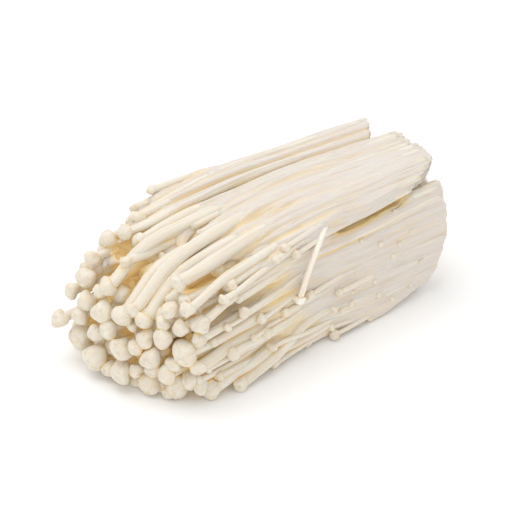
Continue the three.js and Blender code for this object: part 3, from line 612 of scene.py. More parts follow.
class Piece:
    """Collects closed skins and their point attributes into one mesh."""

    def __init__(self):
        self.points, self.faces, self.grain, self.owner, self.outward, self.shade = ([] for _ in range(6))
        self.count = 0

    def add(self, rings, grain, owner, centres, first=None, last=None, shade=None):
        """A skin through rings of points, closed by a fan at each end."""
        n, sides = rings.shape[:2]
        first = rings[0].mean(0) if first is None else first
        last = rings[-1].mean(0) if last is None else last
        index = self.count + np.arange(n * sides).reshape(n, sides)
        turned = np.roll(index, -1, axis=1)
        quads = np.stack([index[:-1], index[1:], turned[1:], turned[:-1]], -1).reshape(-1, 4)
        self.faces += quads.tolist()
        a, b = self.count + n * sides, self.count + n * sides + 1
        self.faces += [[a, p, q] for p, q in zip(index[0], turned[0])]
        self.faces += [[b, q, p] for p, q in zip(index[-1], turned[-1])]
        self.points += [rings.reshape(-1, 3), first[None], last[None]]
        out = unit((rings - centres[:, None])[..., 1:]).reshape(-1, 2)
        self.outward += [out, np.array([[0.0, 1.0], [0.0, 1.0]])]
        self.grain += [grain.reshape(-1, 3), grain[0].mean(0)[None], grain[-1].mean(0)[None]]
        self.owner += [np.full(n * sides + 2, owner)]
        self.shade += [np.zeros(n * sides) if shade is None else shade.ravel(), np.zeros(2)]
        self.count += n * sides + 2

    def make(self, name, material, sections, share):
        """The finished object; share says how strongly close stems paint shade on it."""
        points = np.concatenate(self.points)
        points[:, 2] = np.maximum(points[:, 2], 0.0)
        mesh = bpy.data.meshes.new(name)
        mesh.from_pydata((points * MM).tolist(), [], self.faces)
        mesh.update()
        mesh.shade_smooth()
        grain = mesh.attributes.new("grain", "FLOAT_VECTOR", "POINT")
        grain.data.foreach_set("vector", np.concatenate(self.grain).astype(np.float32).ravel())
        shut = painted_shade(points, np.concatenate(self.outward), np.concatenate(self.owner), sections, share)
        shut = np.maximum(shut, np.concatenate(self.shade))
        shade_value = mesh.attributes.new("painted_shade", "FLOAT", "POINT")
        shade_value.data.foreach_set("value", shut.astype(np.float32))
        mesh.materials.append(material)
        return add_object(name, mesh)


def around(centre, across, up, r, turn):
    """Points round a centre, at radii r and angles turn."""
    return centre + r[..., None] * (np.cos(turn)[..., None] * across + np.sin(turn)[..., None] * up)


def grain_of(along, r, turn, seed):
    """The flesh's own coordinates: along the stem and across it."""
    return np.stack([along, r * np.cos(turn) + seed, r * np.sin(turn) + seed], -1)


# ---- Stems ----
LUMP, LUMP_LENGTH, LONG_LUMP, LONG_LENGTH = 0.045, (2.5, 5), 0.04, 9
OVAL, THREE_SIDED, TWIST_LENGTH = 0.07, 0.035, 40


def add_stem(piece, path, radii, owner, sides, dice):
    """A slightly uneven tube with an out-of-round section."""
    along = unit(np.gradient(path, axis=0))
    across = unit(np.cross([0.0, 1.0, 0.0], along))[:, None]
    up = np.cross(along, across[:, 0])[:, None]
    run = run_along(path)[:, None]
    turn = np.linspace(0, -2 * math.pi, sides, endpoint=False)[None]
    p = dice.uniform(0, 2 * math.pi, 6)
    lumps = 1 + LUMP * np.sin(run / dice.uniform(*LUMP_LENGTH) + p[0])
    lumps = lumps + LONG_LUMP * np.sin(run / LONG_LENGTH + p[1])
    oval = 1 + OVAL * np.cos(2 * turn + p[2] + run / TWIST_LENGTH) + THREE_SIDED * np.cos(3 * turn + p[3])
    r = radii[:, None] * lumps * oval
    grain = grain_of(np.repeat(run, sides, 1), r, turn, dice.uniform(0, GRAIN_SPREAD))
    piece.add(around(path[:, None], across, up, r, turn), grain, owner, path)


# ---- Caps ----

# From the stem under it to its top: how far forward and how wide, as shares of the cap's radius.
CAP_SECTION = np.array([
    (-0.20, 0.30), (-0.35, 0.50), (-0.46, 0.72), (-0.48, 0.88), (-0.38, 0.98), (-0.18, 1.02),
    (0.05, 1.0), (0.26, 0.93), (0.45, 0.81), (0.60, 0.65), (0.71, 0.46), (0.78, 0.26), (0.80, 0.09),
])
CAP_NECK, CAP_TOP, CAP_HEIGHTS = 0.2, 0.81, (0.86, 1.16)
# Painted shade on each ring of a cap, from under the rim to its top: brown and gold under the rim, none on
# top.
CAP_UNDERSIDE_SHADE = np.interp(range(len(CAP_SECTION)), (0, 2, 3, 4, 6), (1.25, 1.1, 0.85, 0.5, 0))
CAP_TURNED, SWAY_SHARE = (0, -0.32, 0.1), 0.6  # the caps look this much to the near side, and sway
# Waves of the rim from one to three round it and, towards the rim only, four and five.
RIM_WAVES, RIM_RIPPLES, RIM_SAG = (1, 0.9, 0.7), (0.5, 0.35), 1.6
DIMPLE_WIDTH, DIMPLE_SPREAD, TOP_SAG_SHARE = 0.3, (0.3, 1.6), 0.4


def add_cap(piece, centre, forward, radius, owner, dice, sides, lobes=0.1, dimple=0.18, tilt=15):
    """A domed, slightly lobed button with a rolled rim and a hollow underside."""
    sway = SWAY_SHARE * math.tan(math.radians(tilt)) * dice.normal(0, 1, 3)
    forward = unit(forward + CAP_TURNED + sway)
    across = unit(np.cross([0.0, 1.0, 0.0], forward))
    turn = np.linspace(0, -2 * math.pi, sides, endpoint=False)
    height = dice.uniform(*CAP_HEIGHTS)
    ahead = CAP_SECTION[:, :1] * height
    wide = CAP_SECTION[:, 1:]
    p = dice.uniform(0, 2 * math.pi, 8)
    edge = sum(w * np.cos(k * turn + p[k - 1]) for k, w in enumerate(RIM_WAVES, 1))
    edge = edge + sum(w * np.cos(k * turn + p[at]) for k, w, at in zip((4, 5), RIM_RIPPLES, (6, 3))) * wide
    sag = RIM_SAG * lobes * (np.cos(2 * turn + p[4]) + np.cos(turn + p[5]))
    hollow = dimple * dice.uniform(*DIMPLE_SPREAD) * np.exp(-((wide / DIMPLE_WIDTH) ** 2))
    r = radius * wide * (1 + lobes * edge * wide)
    a = radius * (ahead - hollow + sag * wide**2 * np.where(ahead < 0.3, 1, TOP_SAG_SHARE))
    rings = around(centre + a[..., None] * forward, across, np.cross(forward, across), r, turn[None])
    seed = dice.uniform(0, GRAIN_SPREAD)
    first = centre - CAP_NECK * radius * forward
    last = centre + radius * (CAP_TOP * height - float(hollow[-1, 0])) * forward
    centres = np.repeat(centre[None], len(rings), 0)
    shade_value = np.repeat(CAP_UNDERSIDE_SHADE[:, None], sides, 1)
    piece.add(rings, grain_of(a + seed, r, turn, seed), owner, centres, first, last, shade_value)


# ---- Mushrooms ----
HIDDEN_BEHIND = 24  # a cap this far behind the front, inside the bunch, isn't made
SHOWN_STEP, INNER_STEP = 3.0, 4.5
THICK_SIDES, THIN_SIDES, THICK_RADIUS = 14, 10, 1.4
FRONT_CAP_SIDES, CAP_SIDES, CAP_AIM = 24, 16, 2.5
ROOT_SHARE, ROOT_RUN = 0.55, 25


def add_mushroom(stems, caps, m, owner, dice):
    centre = cap_centre(m)
    hidden = m.ring > 0 and m.cap_x > cap_front(*centre[1:]) + HIDDEN_BEHIND
    shown = m.ring < 1 and not hidden
    foot, neck = root_x(m), m.cap_x - CAP_NECK * m.cap_radius
    x = np.linspace(foot, neck, max(8, int((foot - neck) / (SHOWN_STEP if shown else INNER_STEP))))
    radii = stem_radius_at(m, x)
    if m.kind == "short":
        radii = radii * mix(ROOT_SHARE, 1, smooth((foot - x) / ROOT_RUN))
    sides = THICK_SIDES if shown and m.stem_radius > THICK_RADIUS else THIN_SIDES
    add_stem(stems, np.column_stack([x, line_at(m, x)]), radii, owner, sides, dice)
    if not hidden:
        behind = m.cap_x + CAP_AIM
        forward = unit(centre - np.array([behind, *line_at(m, np.array([behind]))[0]]))
        sides = FRONT_CAP_SIDES if m.kind == "front" else CAP_SIDES
        add_cap(caps, centre, forward, m.cap_radius, owner, dice, sides)


STRAY_SIDES, STRAY_CAP_SIDES, STRAY_STEPS = 12, 18, 7


def add_stray(piece, dice):
    """The stray mushroom, along its own curve."""
    knots = np.array(STRAY_PATH, float)
    ends = np.concatenate([2 * knots[:1] - knots[1:2], knots, 2 * knots[-1:] - knots[-2:-1]])
    path = []
    for corners in zip(ends, ends[1:], ends[2:], ends[3:]):
        path += [cubic(*corners, t) for t in np.linspace(0, 1, STRAY_STEPS, endpoint=False)]
    path = np.array(path + [knots[-1]])
    add_stem(piece, path, np.linspace(*STRAY_STEM, len(path)), NO_OWNER, STRAY_SIDES, dice)
    add_cap(piece, path[-1], unit(path[-1] - path[-3]), STRAY_CAP, NO_OWNER, dice, STRAY_CAP_SIDES)


# ---- Pins: tiny mushrooms that never grew up ----

# On the near side: x, z and the head's radius.
NEAR_PINS = [
    (40.6, 32.7, 1.2), (31.5, 36.8, 1.1), (51.4, 28.9, 1.1), (47.4, 24.7, 1.0), (56.5, 8.5, 1.0),
    (37.7, 16.4, 1.1), (38.5, 10.9, 1.3), (45.8, 6.2, 1.1), (26.2, 16, 1.2), (23.2, 13.4, 1.2),
    (18.1, 12.5, 1.3), (62.6, 16.8, 0.8), (57.1, 33, 0.8), (49.4, 43.9, 0.9), (-0.5, 30.7, 1.1),
]
PIN_LENGTH, PIN_STEM, PIN_BOW = (3, 6), (0.32, 0.5), 0.35  # the stem's radius is a share of the head's
PIN_RISE, PIN_ROOT_DEPTH, PIN_HEAD_OUT, PIN_HEAD_SHARE = 0.6, 1.2, 0.3, 0.3
PIN_SIDES, PIN_CAP = 7, (12, 0.05, 0.02, 18)  # the head's sides, lobes, dimple and tilt


def near_surface(x, z, sections):
    """The least y that any stem or cap reaches at x and z."""
    centres, radii = (field[row_of(x)] for field in sections)
    y, height = centres.T
    half = radii**2 - (height - z) ** 2
    return np.where(half > 0, y - np.sqrt(np.maximum(half, 0)), 99).min()


def add_pins(stems, caps, sections, dice):
    """Pins from their roots in the tissue to their heads just off it."""
    t = np.linspace(0, 1, 8)[:, None]
    for x, z, radius in NEAR_PINS:
        length = dice.uniform(*PIN_LENGTH)
        head = np.array([x, near_surface(x, z, sections) - PIN_HEAD_OUT - PIN_HEAD_SHARE * radius, z])
        deep = near_surface(x + length, z + PIN_RISE, sections) + PIN_ROOT_DEPTH
        root = np.array([x + length, deep, z + PIN_RISE])
        path = mix(root[None], head[None], t) - [0, PIN_BOW, 0] * np.sin(math.pi * t)
        add_stem(stems, path, mix(*PIN_STEM, t[:, 0]) * radius, NO_OWNER, PIN_SIDES, dice)
        forward = unit(path[-1] - path[-3])
        add_cap(caps, head, forward, radius, NO_OWNER, dice, *PIN_CAP)


# ---- The fused base: its outline and relief ----
SPACING, SHELL_STEP, SHELL_INSET, CORNER_SOFT = 0.33, 1.3, 1.0, 0.9
SHELL_SETBACK = each(24, 24, 10)  # the tissue starts this far behind the caps
FUSED = each((-32, 50), (-52, 60), (-62, 60))  # from what x it closes over the stems, over what run
SUNK = each(1.9, 0.8, 0.8)  # before that it lies this far down between them
FOOT_LATE, FOOT_SUNK = 26, 1.4  # and at the near side's foot later and deeper by this
FOOT_HEIGHT, FOOT_ACROSS = 0.4, 12
DIVE, DIVE_RUN = each(4.5, 3.0, 2.0), 16  # its front dips this much further in
SPLIT_INSET = each((0.4, 0), (0.4, -0.6), (0.4, -1.0))
FRONT_RAGGED, RAG_LENGTH = 4, 1.5
CREST_REACH, CREST_SOFT, VALLEY_SOFT = 1.7, 1.0, 0.45
VALLEY = (0.5, 0.12)  # share of the stems' relief that shows, where it closes and at the cut
SKIN, DEEPEST, HIGHEST = 0.12, 6.0, 3
SWELL, SWELL_LENGTH, SWELL_WIDTH = 0.22, 16, 4.5
STRANDS_PER_MM, STRAND_HALF, STRAND_END_X, STRAND_TAPER = 2.0, (1.25, 0.6), (62, 95), 12
SHORT_STRANDS, SHORT_LENGTH, STRAND_SIZE = 0.35, (18, 60), (0.7, 1.3)
STRAND_SWAY, STRAND_WAVE = (0.2, 1.1), (12, 26)
STRAND_HIGH = each((1.4, 0.17), (1.5, 0.34), (1.5, 0.34))
END_THIN, END_THIN_RUN = each(0.2, 1.0, 0.4), 25
# Painted shade: where the tissue is sunk, in grooves, in the deepest of them, and in the hollow.
SUNK_SHADE = each(0.56, 0.3, 0.3)
GROOVE_REACH, GROOVE_SOFT, GROOVE_DEEP = 0.9, 0.6, 0.6
GROOVE_SHADE = each(0.44, 0.5, 0.5)
CREVICE, CREVICE_SHADE = (0.9, 0.6), each(0.8, 0.12, 0.1)


def blur(values, reach, axis):
    """A Gaussian blur round the outline."""
    n, sigma = values.shape[axis], reach / SPACING
    f = np.fft.rfftfreq(n)
    gain = np.exp(-2 * (math.pi * f * sigma) ** 2)
    shape = [1] * values.ndim
    shape[axis] = len(f)
    return np.fft.irfft(np.fft.rfft(values, axis=axis) * gain.reshape(shape), n, axis)


def waves(p, scale, dice, count=9):
    """A soft irregular field over points."""
    total = 0
    for _ in range(count):
        way = unit(dice.normal(0, 1, p.shape[-1])) * dice.uniform(0.6, 1.6) / scale
        total = total + np.sin(p @ way + dice.uniform(0, 6.3))
    return total / math.sqrt(count)


def crests(heights, reach):
    """The highest of the heights within reach round the outline."""
    wide = round(reach / SPACING)
    return np.maximum.reduce([np.roll(heights, turn, axis=1) for turn in range(-wide, wide + 1)])


def clump_sides(clump):
    """For each cleft beside a clump, how far a point lies on the clump's side."""
    over, aside = SPLIT_INSET[clump]
    if clump == "lower":
        return [lambda p: -above_cleft(*p) - over]
    side = 1 if clump == "back" else -1
    return [lambda p: above_cleft(*p) - over, lambda p: side * (p[0] - SPLIT_Y) - aside]


def shell_outline(clump):
    """A clump's outline at the base, closed, evenly spaced, with soft corners."""
    polygon = outline_points(SHELL_INSET, 0.25)
    for inside in clump_sides(clump):
        kept = []
        for p, q in zip(polygon, polygon[1:] + polygon[:1]):
            a, b = inside(p), inside(q)
            if a >= 0:
                kept.append(p)
            if a * b < 0:
                t = a / (a - b)
                kept.append((mix(p[0], q[0], t), mix(p[1], q[1], t)))
        polygon = kept
    return blur(evenly(np.array(polygon + polygon[:1]), SPACING), CORNER_SOFT, 0)


def shell_frame(clump, outline, x):
    """Points of the outline carried to x, and the directions out of it."""
    at = np.stack(placed(clump, x, *locate(BASE_X, *outline.T)), -1)
    along = np.roll(at, -1, -2) - np.roll(at, 1, -2)
    return at, unit(np.stack([along[..., 1], -along[..., 0]], -1))


def reach_out(x, at, out, sections, members):
    """How far the clump's stems stand out past each point."""
    c, r = (field[row_of(x)][members] for field in sections)
    along, half = chord(c[None] - at[:, None], out, r[None])
    return np.clip(np.where(half > 0, along + half, -DEEPEST).max(1), -DEEPEST, HIGHEST)


def stem_heights(clump, outline, end, rows, sections, members):
    """The stems' reach on rows at x; past their roots the last row's goes on."""
    heights = []
    for x in rows:
        reach = reach_out(x, *shell_frame(clump, outline, x), sections, members)
        rooted = x > end - ROOT_INSET - 2 * GRID_STEP
        heights.append(np.where(rooted, heights[-1] if heights else 0, reach))
    return np.array(heights)


def strands(x, s, fused, high_range, dice):
    """Relief of stems that run side by side and taper out, finer where fused."""
    total = SPACING * len(s)
    relief = np.zeros((len(x), len(s)))
    for _ in range(int(total * STRANDS_PER_MM)):
        start, end = mix(x[0] - 30, STRAND_END_X[0], dice.random() ** 1.8), STRAND_END_X[1]
        if dice.random() < SHORT_STRANDS:
            end = start + dice.uniform(*SHORT_LENGTH)
        size = dice.uniform(*STRAND_SIZE)
        half, high = size * mix(*STRAND_HALF, fused), size * mix(*high_range, fused)
        middle, sway = dice.uniform(0, total), dice.uniform(*STRAND_SWAY)
        path = middle + sway * np.sin(x / dice.uniform(*STRAND_WAVE) + dice.uniform(0, 6.3))
        taper = ease(x, start, STRAND_TAPER) * ease(-x, -end, STRAND_TAPER)
        off = (s[None] - path[:, None] + total / 2) % total - total / 2
        relief = np.maximum(relief, (high * taper)[:, None] * (1 - (off / half[:, None]) ** 2))
    return relief


def base_relief(clump, outline, heights, x, s, dice):
    """How far the skin stands out from the clump's outline, on rows at x and columns at s, and how
    much painted shade it gets where it is sunk, in its grooves and, on the lower clump, in the hollow."""
    crest = blur(crests(heights, CREST_REACH), CREST_SOFT, 1)
    snug = blur(heights, VALLEY_SOFT, 1)
    (start, run), x = FUSED[clump], x[:, None]
    valley = mix(*VALLEY, ease(x, start + run, BASE_X - start - run))
    closed = mix(crest, np.minimum(snug, crest), valley) + SKIN
    _, v = locate(BASE_X, *outline.T)
    foot = smooth(1 - v / FOOT_HEIGHT) * smooth(-outline[:, 0] / FOOT_ACROSS) * (clump == "lower")
    fused, closing = ease(x, start, run), ease(x, start + FOOT_LATE * foot, run)
    lift = mix(crest - SUNK[clump] - FOOT_SUNK * foot, closed, closing)
    grid = np.stack(np.broadcast_arrays(x / SWELL_LENGTH, s[None] / SWELL_WIDTH), -1)
    lift = lift + fused * SWELL * waves(grid, 1.0, dice)
    relief = strands(x[:, 0], s, fused[:, 0], STRAND_HIGH[clump], dice)
    lift = lift + relief * mix(1, closing, foot)
    # Painted shade in the grooves, browner in the deepest.
    groove = blur(crests(lift, GROOVE_REACH), GROOVE_SOFT, 1) - lift
    shade = GROOVE_SHADE[clump] * np.clip(groove / GROOVE_DEEP, 0, 1)
    shade = shade + CREVICE_SHADE[clump] * ease(groove, *CREVICE)
    shade = np.maximum(shade, SUNK_SHADE[clump] * smooth(1.6 * (1 - closing)))
    # Painted brown shade in the hollow under the upper clump's near edge.
    if clump == "lower":
        shade = np.maximum(shade, RECESS_SHADE * recess(x, *outline.T) ** RECESS_POWER)
    return lift, shade


# ---- The fused base: its front, skin and cut end ----
END_REACH, END_RINGS = each(-1.8, -0.8, 0.2), 36
LEAD_IN = (0.35, 5.0), (0.7, 4.0), (0.9, 2.0)  # rings that close its front: size, and how far ahead
RIM_TORN = each((0.1, 0.25), (0.4, 0.9), (0.4, 0.7))  # soft waves, fine fibres
TORN_LENGTH, TORN_FINE, CORNER_TORN, CORNER_HIGH, CORNER_ACROSS = 1.1, 0.35, 0.8, 7, 20
BEVEL_BACK, BEVEL_IN = 0.35, 0.3
CELL_DEEP, CELL_SHADE = 0.5, 0.55  # how far the cut face dips between the stems, and its painted shade there
CELL_WALL, CELL_ROOTS_X = (0.8, 1.2), 72
CUT_BUMPS, CUT_BUMP_LENGTH, CUT_RIM_SOFT = 0.4, 1.3, 1.2
FIBRES_PER_MM, FIBRE_ROOT = each(1.6, 0.7, 0.6), 5
FIBRE_LENGTH, FIBRE_RADIUS, FIBRE_TIP, FIBRE_SPREAD = (5.5, 8), (0.2, 0.42), 0.15, 0.5
FIBRE_POINTS, FIBRE_SIDES = 7, 6
TORN_SEED, SHRED_SEED, CUT_SEED = 5, 6, 9


def add_fibres(piece, rim, out, share, count, dice):
    """Thin torn strands that stick out of the cut's rim where share is high."""
    for k in dice.integers(0, len(rim), count):
        if dice.random() > share[k]:
            continue
        along = np.linspace(0, dice.uniform(*FIBRE_LENGTH), FIBRE_POINTS)
        bend = dice.normal(0, FIBRE_SPREAD, 2) * (along[:, None] / FIBRE_ROOT) ** 3
        path = np.column_stack([rim[k, 0] - FIBRE_ROOT + along, rim[k, 1:] + bend - FIBRE_SPREAD * out[k]])
        radii = dice.uniform(*FIBRE_RADIUS) * np.linspace(1, FIBRE_TIP, FIBRE_POINTS)
        add_stem(piece, path, radii, NO_OWNER, FIBRE_SIDES, dice)


def torn_rim(clump, s, corner):
    """How far the torn rim of the cut stands out beyond it."""
    soft, fine = RIM_TORN[clump]
    shreds = np.random.default_rng(SHRED_SEED).normal(0, 1, len(s))
    shreds = mix(fine, CORNER_TORN, corner) * blur(shreds, TORN_FINE, 0)
    return soft * waves(np.stack([s, 0 * s], 1), TORN_LENGTH, np.random.default_rng(TORN_SEED)) + shreds


def cut_face(clump, rim, roots):
    """Rings from the rim to the middle of the cut, with painted shade between the stems."""
    middle = rim.mean(0)
    soft_rim = blur(rim, CUT_RIM_SOFT, 0)
    rings, cells = [], []
    for share in np.linspace(0.02, 0.97, END_RINGS) ** 0.8:
        ring = mix(mix(rim, soft_rim, smooth(share / 0.15)), middle, share)
        away = np.linalg.norm(ring[:, None, 1:] - roots[None], axis=2).min(1)
        between = ease(away, *CELL_WALL)
        bumps = CUT_BUMPS * waves(ring[:, 1:], CUT_BUMP_LENGTH, np.random.default_rng(CUT_SEED))
        end = base_end(clump, *locate(BASE_X, *ring[:, 1:].T)) + END_REACH[clump]
        ring[:, 0] = end + bumps - CELL_DEEP * between
        rings.append(ring)
        cells.append(CELL_SHADE * between)
    return rings, cells


def add_base(piece, clump, sections, members, dice):
    """The tissue that fills a clump between its stems, and its cut end."""
    outline = shell_outline(clump)
    u, v = locate(BASE_X, *outline.T)
    s = SPACING * np.arange(len(outline))
    end = base_end(clump, u, v)
    begin = cap_front(*place(FRONT_X, u, v)) + SHELL_SETBACK[clump]
    begin = begin + FRONT_RAGGED * (1 + waves(s[:, None], RAG_LENGTH, dice))
    rows = np.linspace(begin.min(), end.max(), int((end.max() - begin.min()) / SHELL_STEP))
    heights = stem_heights(clump, outline, end, rows, sections, members)
    lift, shade = base_relief(clump, outline, heights, rows, s, dice)
    lift = lift - DIVE[clump] * (1 - ease(rows[:, None], begin, DIVE_RUN))
    lift = lift - END_THIN[clump] * smooth(1 - (end - rows[:, None]) / END_THIN_RUN)
    corner = smooth(1 - abs(above_cleft(*outline.T)) / CORNER_HIGH) * smooth(-outline[:, 0] / CORNER_ACROSS)
    torn = torn_rim(clump, s, corner)
    rings, grains, shades = [], [], []
    fields, column = np.stack([lift, shade]), np.arange(len(s))
    for t, bevel in [(t, 0) for t in np.linspace(0, 1, len(rows))] + [(1, 1)]:
        x = mix(begin, end + END_REACH[clump] + torn - BEVEL_BACK * (1 - bevel), t)
        near = np.clip((x - rows[0]) / (rows[1] - rows[0]), 0, len(rows) - 1.001)
        low = near.astype(int)
        high, shade_value = mix(fields[:, low, column], fields[:, low + 1, column], near - low)
        at, out = shell_frame(clump, outline, x)
        rings.append(np.column_stack([x, at + out * (high - BEVEL_IN * bevel)[:, None]]))
        grains.append(np.column_stack([x, s, high]))
        shades.append(shade_value)
    rim = rings[-1]
    loose = corner if clump == "lower" else smooth(3 * out[:, 1]) + smooth(-2 * outline[:, 0] / HALF_WIDTH)
    add_fibres(piece, rim, out, loose, int(FIBRES_PER_MM[clump] * SPACING * len(s)), dice)
    lead = [mix(rings[0].mean(0), rings[0], size) - (ahead, 0, 0) for size, ahead in LEAD_IN]
    roots = sections[0][row_of(CELL_ROOTS_X)][members]
    tail, cells = cut_face(clump, rim, roots)
    rings = np.array(lead + rings + tail)
    grains = np.array([grains[0]] * len(lead) + grains + [grains[-1]] * len(tail))
    grains[-len(tail):, :, 1:] = rings[-len(tail):, :, 1:]
    shades = np.array([0 * s] * len(lead) + shades + cells)
    piece.add(rings, grains, NO_OWNER, np.repeat(rim.mean(0)[None], len(rings), 0), shade=shades)


# ---- Materials ----
# Each tissue's pale and cream streaks, how fine its fibres and lines are, and its roughness.
LOOKS = {
    "stems": ("stem_flesh", (0.80, 0.755, 0.675), (0.78, 0.71, 0.605), 3.0, 0.9, 0.52),
    "caps": ("cap_flesh", (0.785, 0.74, 0.65), (0.74, 0.67, 0.56), 1.4, 0.5, 0.45),
    "base": ("base_flesh", (0.735, 0.685, 0.64), (0.72, 0.65, 0.585), 3.4, 1.1, 0.6),
    # The stray's flesh is painted lighter than the stems' to make up for the shade it lies in.
    "stray": ("stray_flesh_painted_lighter", (0.95, 0.92, 0.86), (0.90, 0.85, 0.76), 3.0, 0.9, 0.52),
}
# Painted shade: what is shut in is painted gold and then brown, and a painted glow stands in for light
# coming through it.
SHADE_GOLD, SHADE_BROWN = (0.80, 0.62, 0.31), (0.52, 0.32, 0.13)
SHADE_GOLD_RANGE, SHADE_BROWN_RANGE = (0.25, 0.9), (0.9, 1.5)
GLOW, GLOW_RANGE = (0.03, 0.15), (0.2, 1.0)
# Patterns: scale, how far they are drawn out along the stem, and detail.
STREAKS, PATCHES, DENTS = (0.55, 0.06, 3.0), (0.10, 0.5, 1.0), (0.35, 0.35, 2.0)
LINES, FIBRES, NOISE_ROUGH = (0.03, 2.0), (0.05, 4.0), 0.6
STREAK_RANGE, PATCH_RANGE, LINE_RANGE = (0.35, 0.68), (0.5, 0.75), (0.52, 0.7)
PATCH_SHARE, LINE_SHARE, LINE_TINT = 0.2, 0.6, (0.9, 0.82, 0.7)
FIBRES_OUT, LINES_IN, BUMP, BUMP_DEPTH = 0.5, 0.7, 0.7, 0.5
SMOOTHER, ROUGHER, SPECULAR = 0.1, 0.14, 0.35
SCATTER, SCATTER_COLOUR, SCATTER_DEPTH = 0.35, (1.0, 0.6, 0.25), 1.3


def new_material(name):
    material = bpy.data.materials.new(name)
    material.use_nodes = True
    return material, material.node_tree.nodes["Principled BSDF"]


def put(node, inputs):
    """Gives a node's inputs their values, colours or other nodes' outputs."""
    for key, value in inputs.items():
        if isinstance(value, bpy.types.NodeSocket):
            node.id_data.links.new(value, node.inputs[key])
        else:
            node.inputs[key].default_value = value


class Graph:
    """The nodes of one material."""

    def __init__(self, name):
        self.material, self.shader = new_material(name)
        self.grain = self.attribute("grain", "Vector")

    def node(self, kind, inputs, **settings):
        made = self.material.node_tree.nodes.new(kind)
        for key, value in settings.items():
            setattr(made, key, value)
        put(made, inputs)
        return made

    def attribute(self, name, output):
        return self.node("ShaderNodeAttribute", {}, attribute_name=name).outputs[output]

    def noise(self, scale, drawn, detail):
        """Noise in the stem's own coordinates, drawn out along it."""
        mapping = self.node("ShaderNodeMapping", {"Vector": self.grain, "Scale": (drawn, 1, 1)})
        inputs = {"Scale": scale, "Detail": detail, "Roughness": NOISE_ROUGH}
        return self.node("ShaderNodeTexNoise", {"Vector": mapping.outputs[0], **inputs}).outputs["Fac"]

    def mixed(self, factor, a, b):
        a, b = ((*value, 1) if isinstance(value, tuple) else value for value in (a, b))
        return self.node("ShaderNodeMix", {0: factor, 6: a, 7: b}, data_type="RGBA").outputs[2]

    def ramp(self, value, start, end, low=0.0, high=1.0, kind="SMOOTHSTEP"):
        """From low where value is at start to high where it is at end."""
        inputs = {"Value": value, "From Min": start, "From Max": end, "To Min": low, "To Max": high}
        return self.node("ShaderNodeMapRange", inputs, interpolation_type=kind).outputs["Result"]

    def times(self, value, factor, plus=0.0, clamped=False):
        inputs = {0: value, 1: factor, 2: plus}
        made = self.node("ShaderNodeMath", inputs, operation="MULTIPLY_ADD", use_clamp=clamped)
        return made.outputs[0]


def flesh_colour(graph, pale, cream, lines, shut, darkest):
    """Pale and cream streaks with patches and fine lines, with painted gold and brown shade where shut in.
    """
    colour = graph.mixed(graph.ramp(graph.noise(*STREAKS), *STREAK_RANGE), cream, pale)
    patches = graph.times(graph.ramp(graph.noise(*PATCHES), *PATCH_RANGE), PATCH_SHARE)
    colour = graph.mixed(patches, colour, tuple(0.5 * (a + b) for a, b in zip(cream, SHADE_GOLD)))
    drawn = graph.times(graph.ramp(lines, *LINE_RANGE), LINE_SHARE)
    colour = graph.mixed(drawn, colour, tuple(a * b for a, b in zip(cream, LINE_TINT)))
    colour = graph.mixed(graph.ramp(shut, *SHADE_GOLD_RANGE), colour, SHADE_GOLD)
    return graph.mixed(darkest, colour, SHADE_BROWN)


def flesh_relief(graph, fibres, lines):
    """Fine fibres and shallow dents, with the lines as grooves."""
    height = graph.times(lines, -LINES_IN, graph.times(fibres, FIBRES_OUT, graph.noise(*DENTS)))
    inputs = {"Strength": BUMP, "Distance": BUMP_DEPTH * MM, "Height": height}
    return graph.node("ShaderNodeBump", inputs).outputs["Normal"]


def flesh(name, pale, cream, fibre_scale, line_scale, roughness):
    """Moist mushroom flesh, with painted shade and a painted glow where shut in."""
    graph = Graph(name)
    shut = graph.attribute("painted_shade", "Fac")
    darkest = graph.ramp(shut, *SHADE_BROWN_RANGE)
    lines, fibres = graph.noise(line_scale, *LINES), graph.noise(fibre_scale, *FIBRES)
    glow = graph.ramp(shut, *GLOW_RANGE, *GLOW)
    put(graph.shader, {
        "Base Color": flesh_colour(graph, pale, cream, lines, shut, darkest),
        # Painted glow: faint gold everywhere, strongest where shut in, less where painted brown.
        "Emission Color": (*SHADE_GOLD, 1),
        "Emission Strength": graph.times(darkest, -GLOW[1], glow, clamped=True),
        "Normal": flesh_relief(graph, fibres, lines),
        "Roughness": graph.ramp(fibres, 0, 1, roughness - SMOOTHER, roughness + ROUGHER, "LINEAR"),
        "Specular IOR Level": SPECULAR,
        "Subsurface Weight": SCATTER,
        "Subsurface Radius": SCATTER_COLOUR,
        "Subsurface Scale": SCATTER_DEPTH * MM,
    })
    return graph.material


# ---- The dressed bunch ----
DICE_SEED = 100


def dress(mushrooms):
    sections = cross_sections(mushrooms)
    looks = {part: flesh(*look) for part, look in LOOKS.items()}
    for number, clump in enumerate(("lower", "upper", "back")):
        dice = np.random.default_rng(DICE_SEED + number)
        stems, caps, base, stray = (Piece() for _ in range(4))
        parts = {"stems": stems, "caps": caps, "base": base}
        members = np.array([i for i, m in enumerate(mushrooms) if m.clump == clump])
        for i in members:
            add_mushroom(stems, caps, mushrooms[i], i, dice)
        if clump == "lower":
            add_pins(stems, caps, sections, dice)
        add_base(base, clump, sections, members, dice)
        if clump == "upper":
            add_stray(stray, dice)
            parts["stray"] = stray
        for part, piece in parts.items():
            share = CAP_SHARE if part == "caps" else 1
            made = piece.make(f"{clump}_{part}", looks[part], sections, share)
            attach(made, "root")
            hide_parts(f"{clump}_clump")


# ---- Floor, light and camera: metres and degrees ----
FLOOR_HALF, PAPER, PAPER_ROUGH, SURROUND = 6, (0.97, 0.97, 0.97, 1), 0.9, 0.82
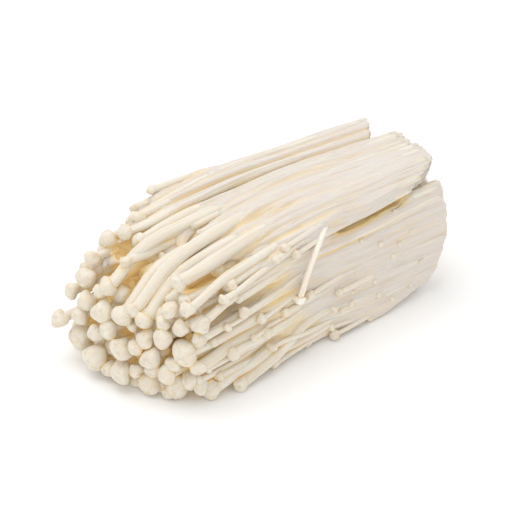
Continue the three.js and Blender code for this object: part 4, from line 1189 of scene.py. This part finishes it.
# Each lamp's place, size and power; both face the same point.
LAMPS = {"key": ((-0.15, 0.25, 1.05), 0.8, 4.8), "fill": ((-0.55, -0.95, 0.35), 0.9, 1.75)}
LAMP_AIM = 0, 0, 0.02
AZIMUTH, ELEVATION, DISTANCE, CAMERA_AIM = -37, 31, 0.6328, (0, 0, 0.0253)
SENSOR, PHOTO_FOCUS, PHOTO_RISE, PHOTO_SIDE = 36, 1582, 7, 510  # the last three in the photo's pixels


def stage():
    mesh = bpy.data.meshes.new("floor")
    corners = [(x * FLOOR_HALF, y * FLOOR_HALF, 0) for x, y in ((-1, -1), (1, -1), (1, 1), (-1, 1))]
    mesh.from_pydata(corners, [], [(0, 1, 2, 3)])
    floor = add_object("floor", mesh)
    paper, shader = new_material("paper")
    put(shader, {"Base Color": PAPER, "Roughness": PAPER_ROUGH})
    mesh.materials.append(paper)
    world = bpy.data.worlds.new("studio")
    bpy.context.scene.world = world
    world.use_nodes = True
    put(world.node_tree.nodes["Background"], {"Color": (1, 1, 1, 1), "Strength": SURROUND})
    for name, (at, size, power) in LAMPS.items():
        light = bpy.data.lights.new(name, "AREA")
        light.size = size
        light.energy = power
        lamp = add_object(name, light)
        lamp.location = at
        lamp.rotation_euler = (Vector(LAMP_AIM) - lamp.location).to_track_quat("-Z", "Y").to_euler()


def camera():
    azimuth, elevation = math.radians(AZIMUTH), math.radians(ELEVATION)
    flat = math.cos(elevation)
    back = Vector((math.sin(azimuth) * flat, -math.cos(azimuth) * flat, math.sin(elevation)))
    lens = bpy.data.cameras.new("camera")
    lens.sensor_width = SENSOR
    lens.lens = PHOTO_FOCUS / PHOTO_SIDE * SENSOR
    lens.shift_y = PHOTO_RISE / PHOTO_SIDE
    lens.clip_start = 0.01
    eye = add_object("camera", lens)
    eye.location = Vector(CAMERA_AIM) + DISTANCE * back
    eye.rotation_euler = back.to_track_quat("Z", "Y").to_euler()
    bpy.context.scene.camera = eye
    bpy.context.scene.view_settings.view_transform = "Standard"


bunch = grow_bunch() + extras()
hollow_out(bunch)
open_pockets(bunch)
dress(bunch)
stage()
camera()
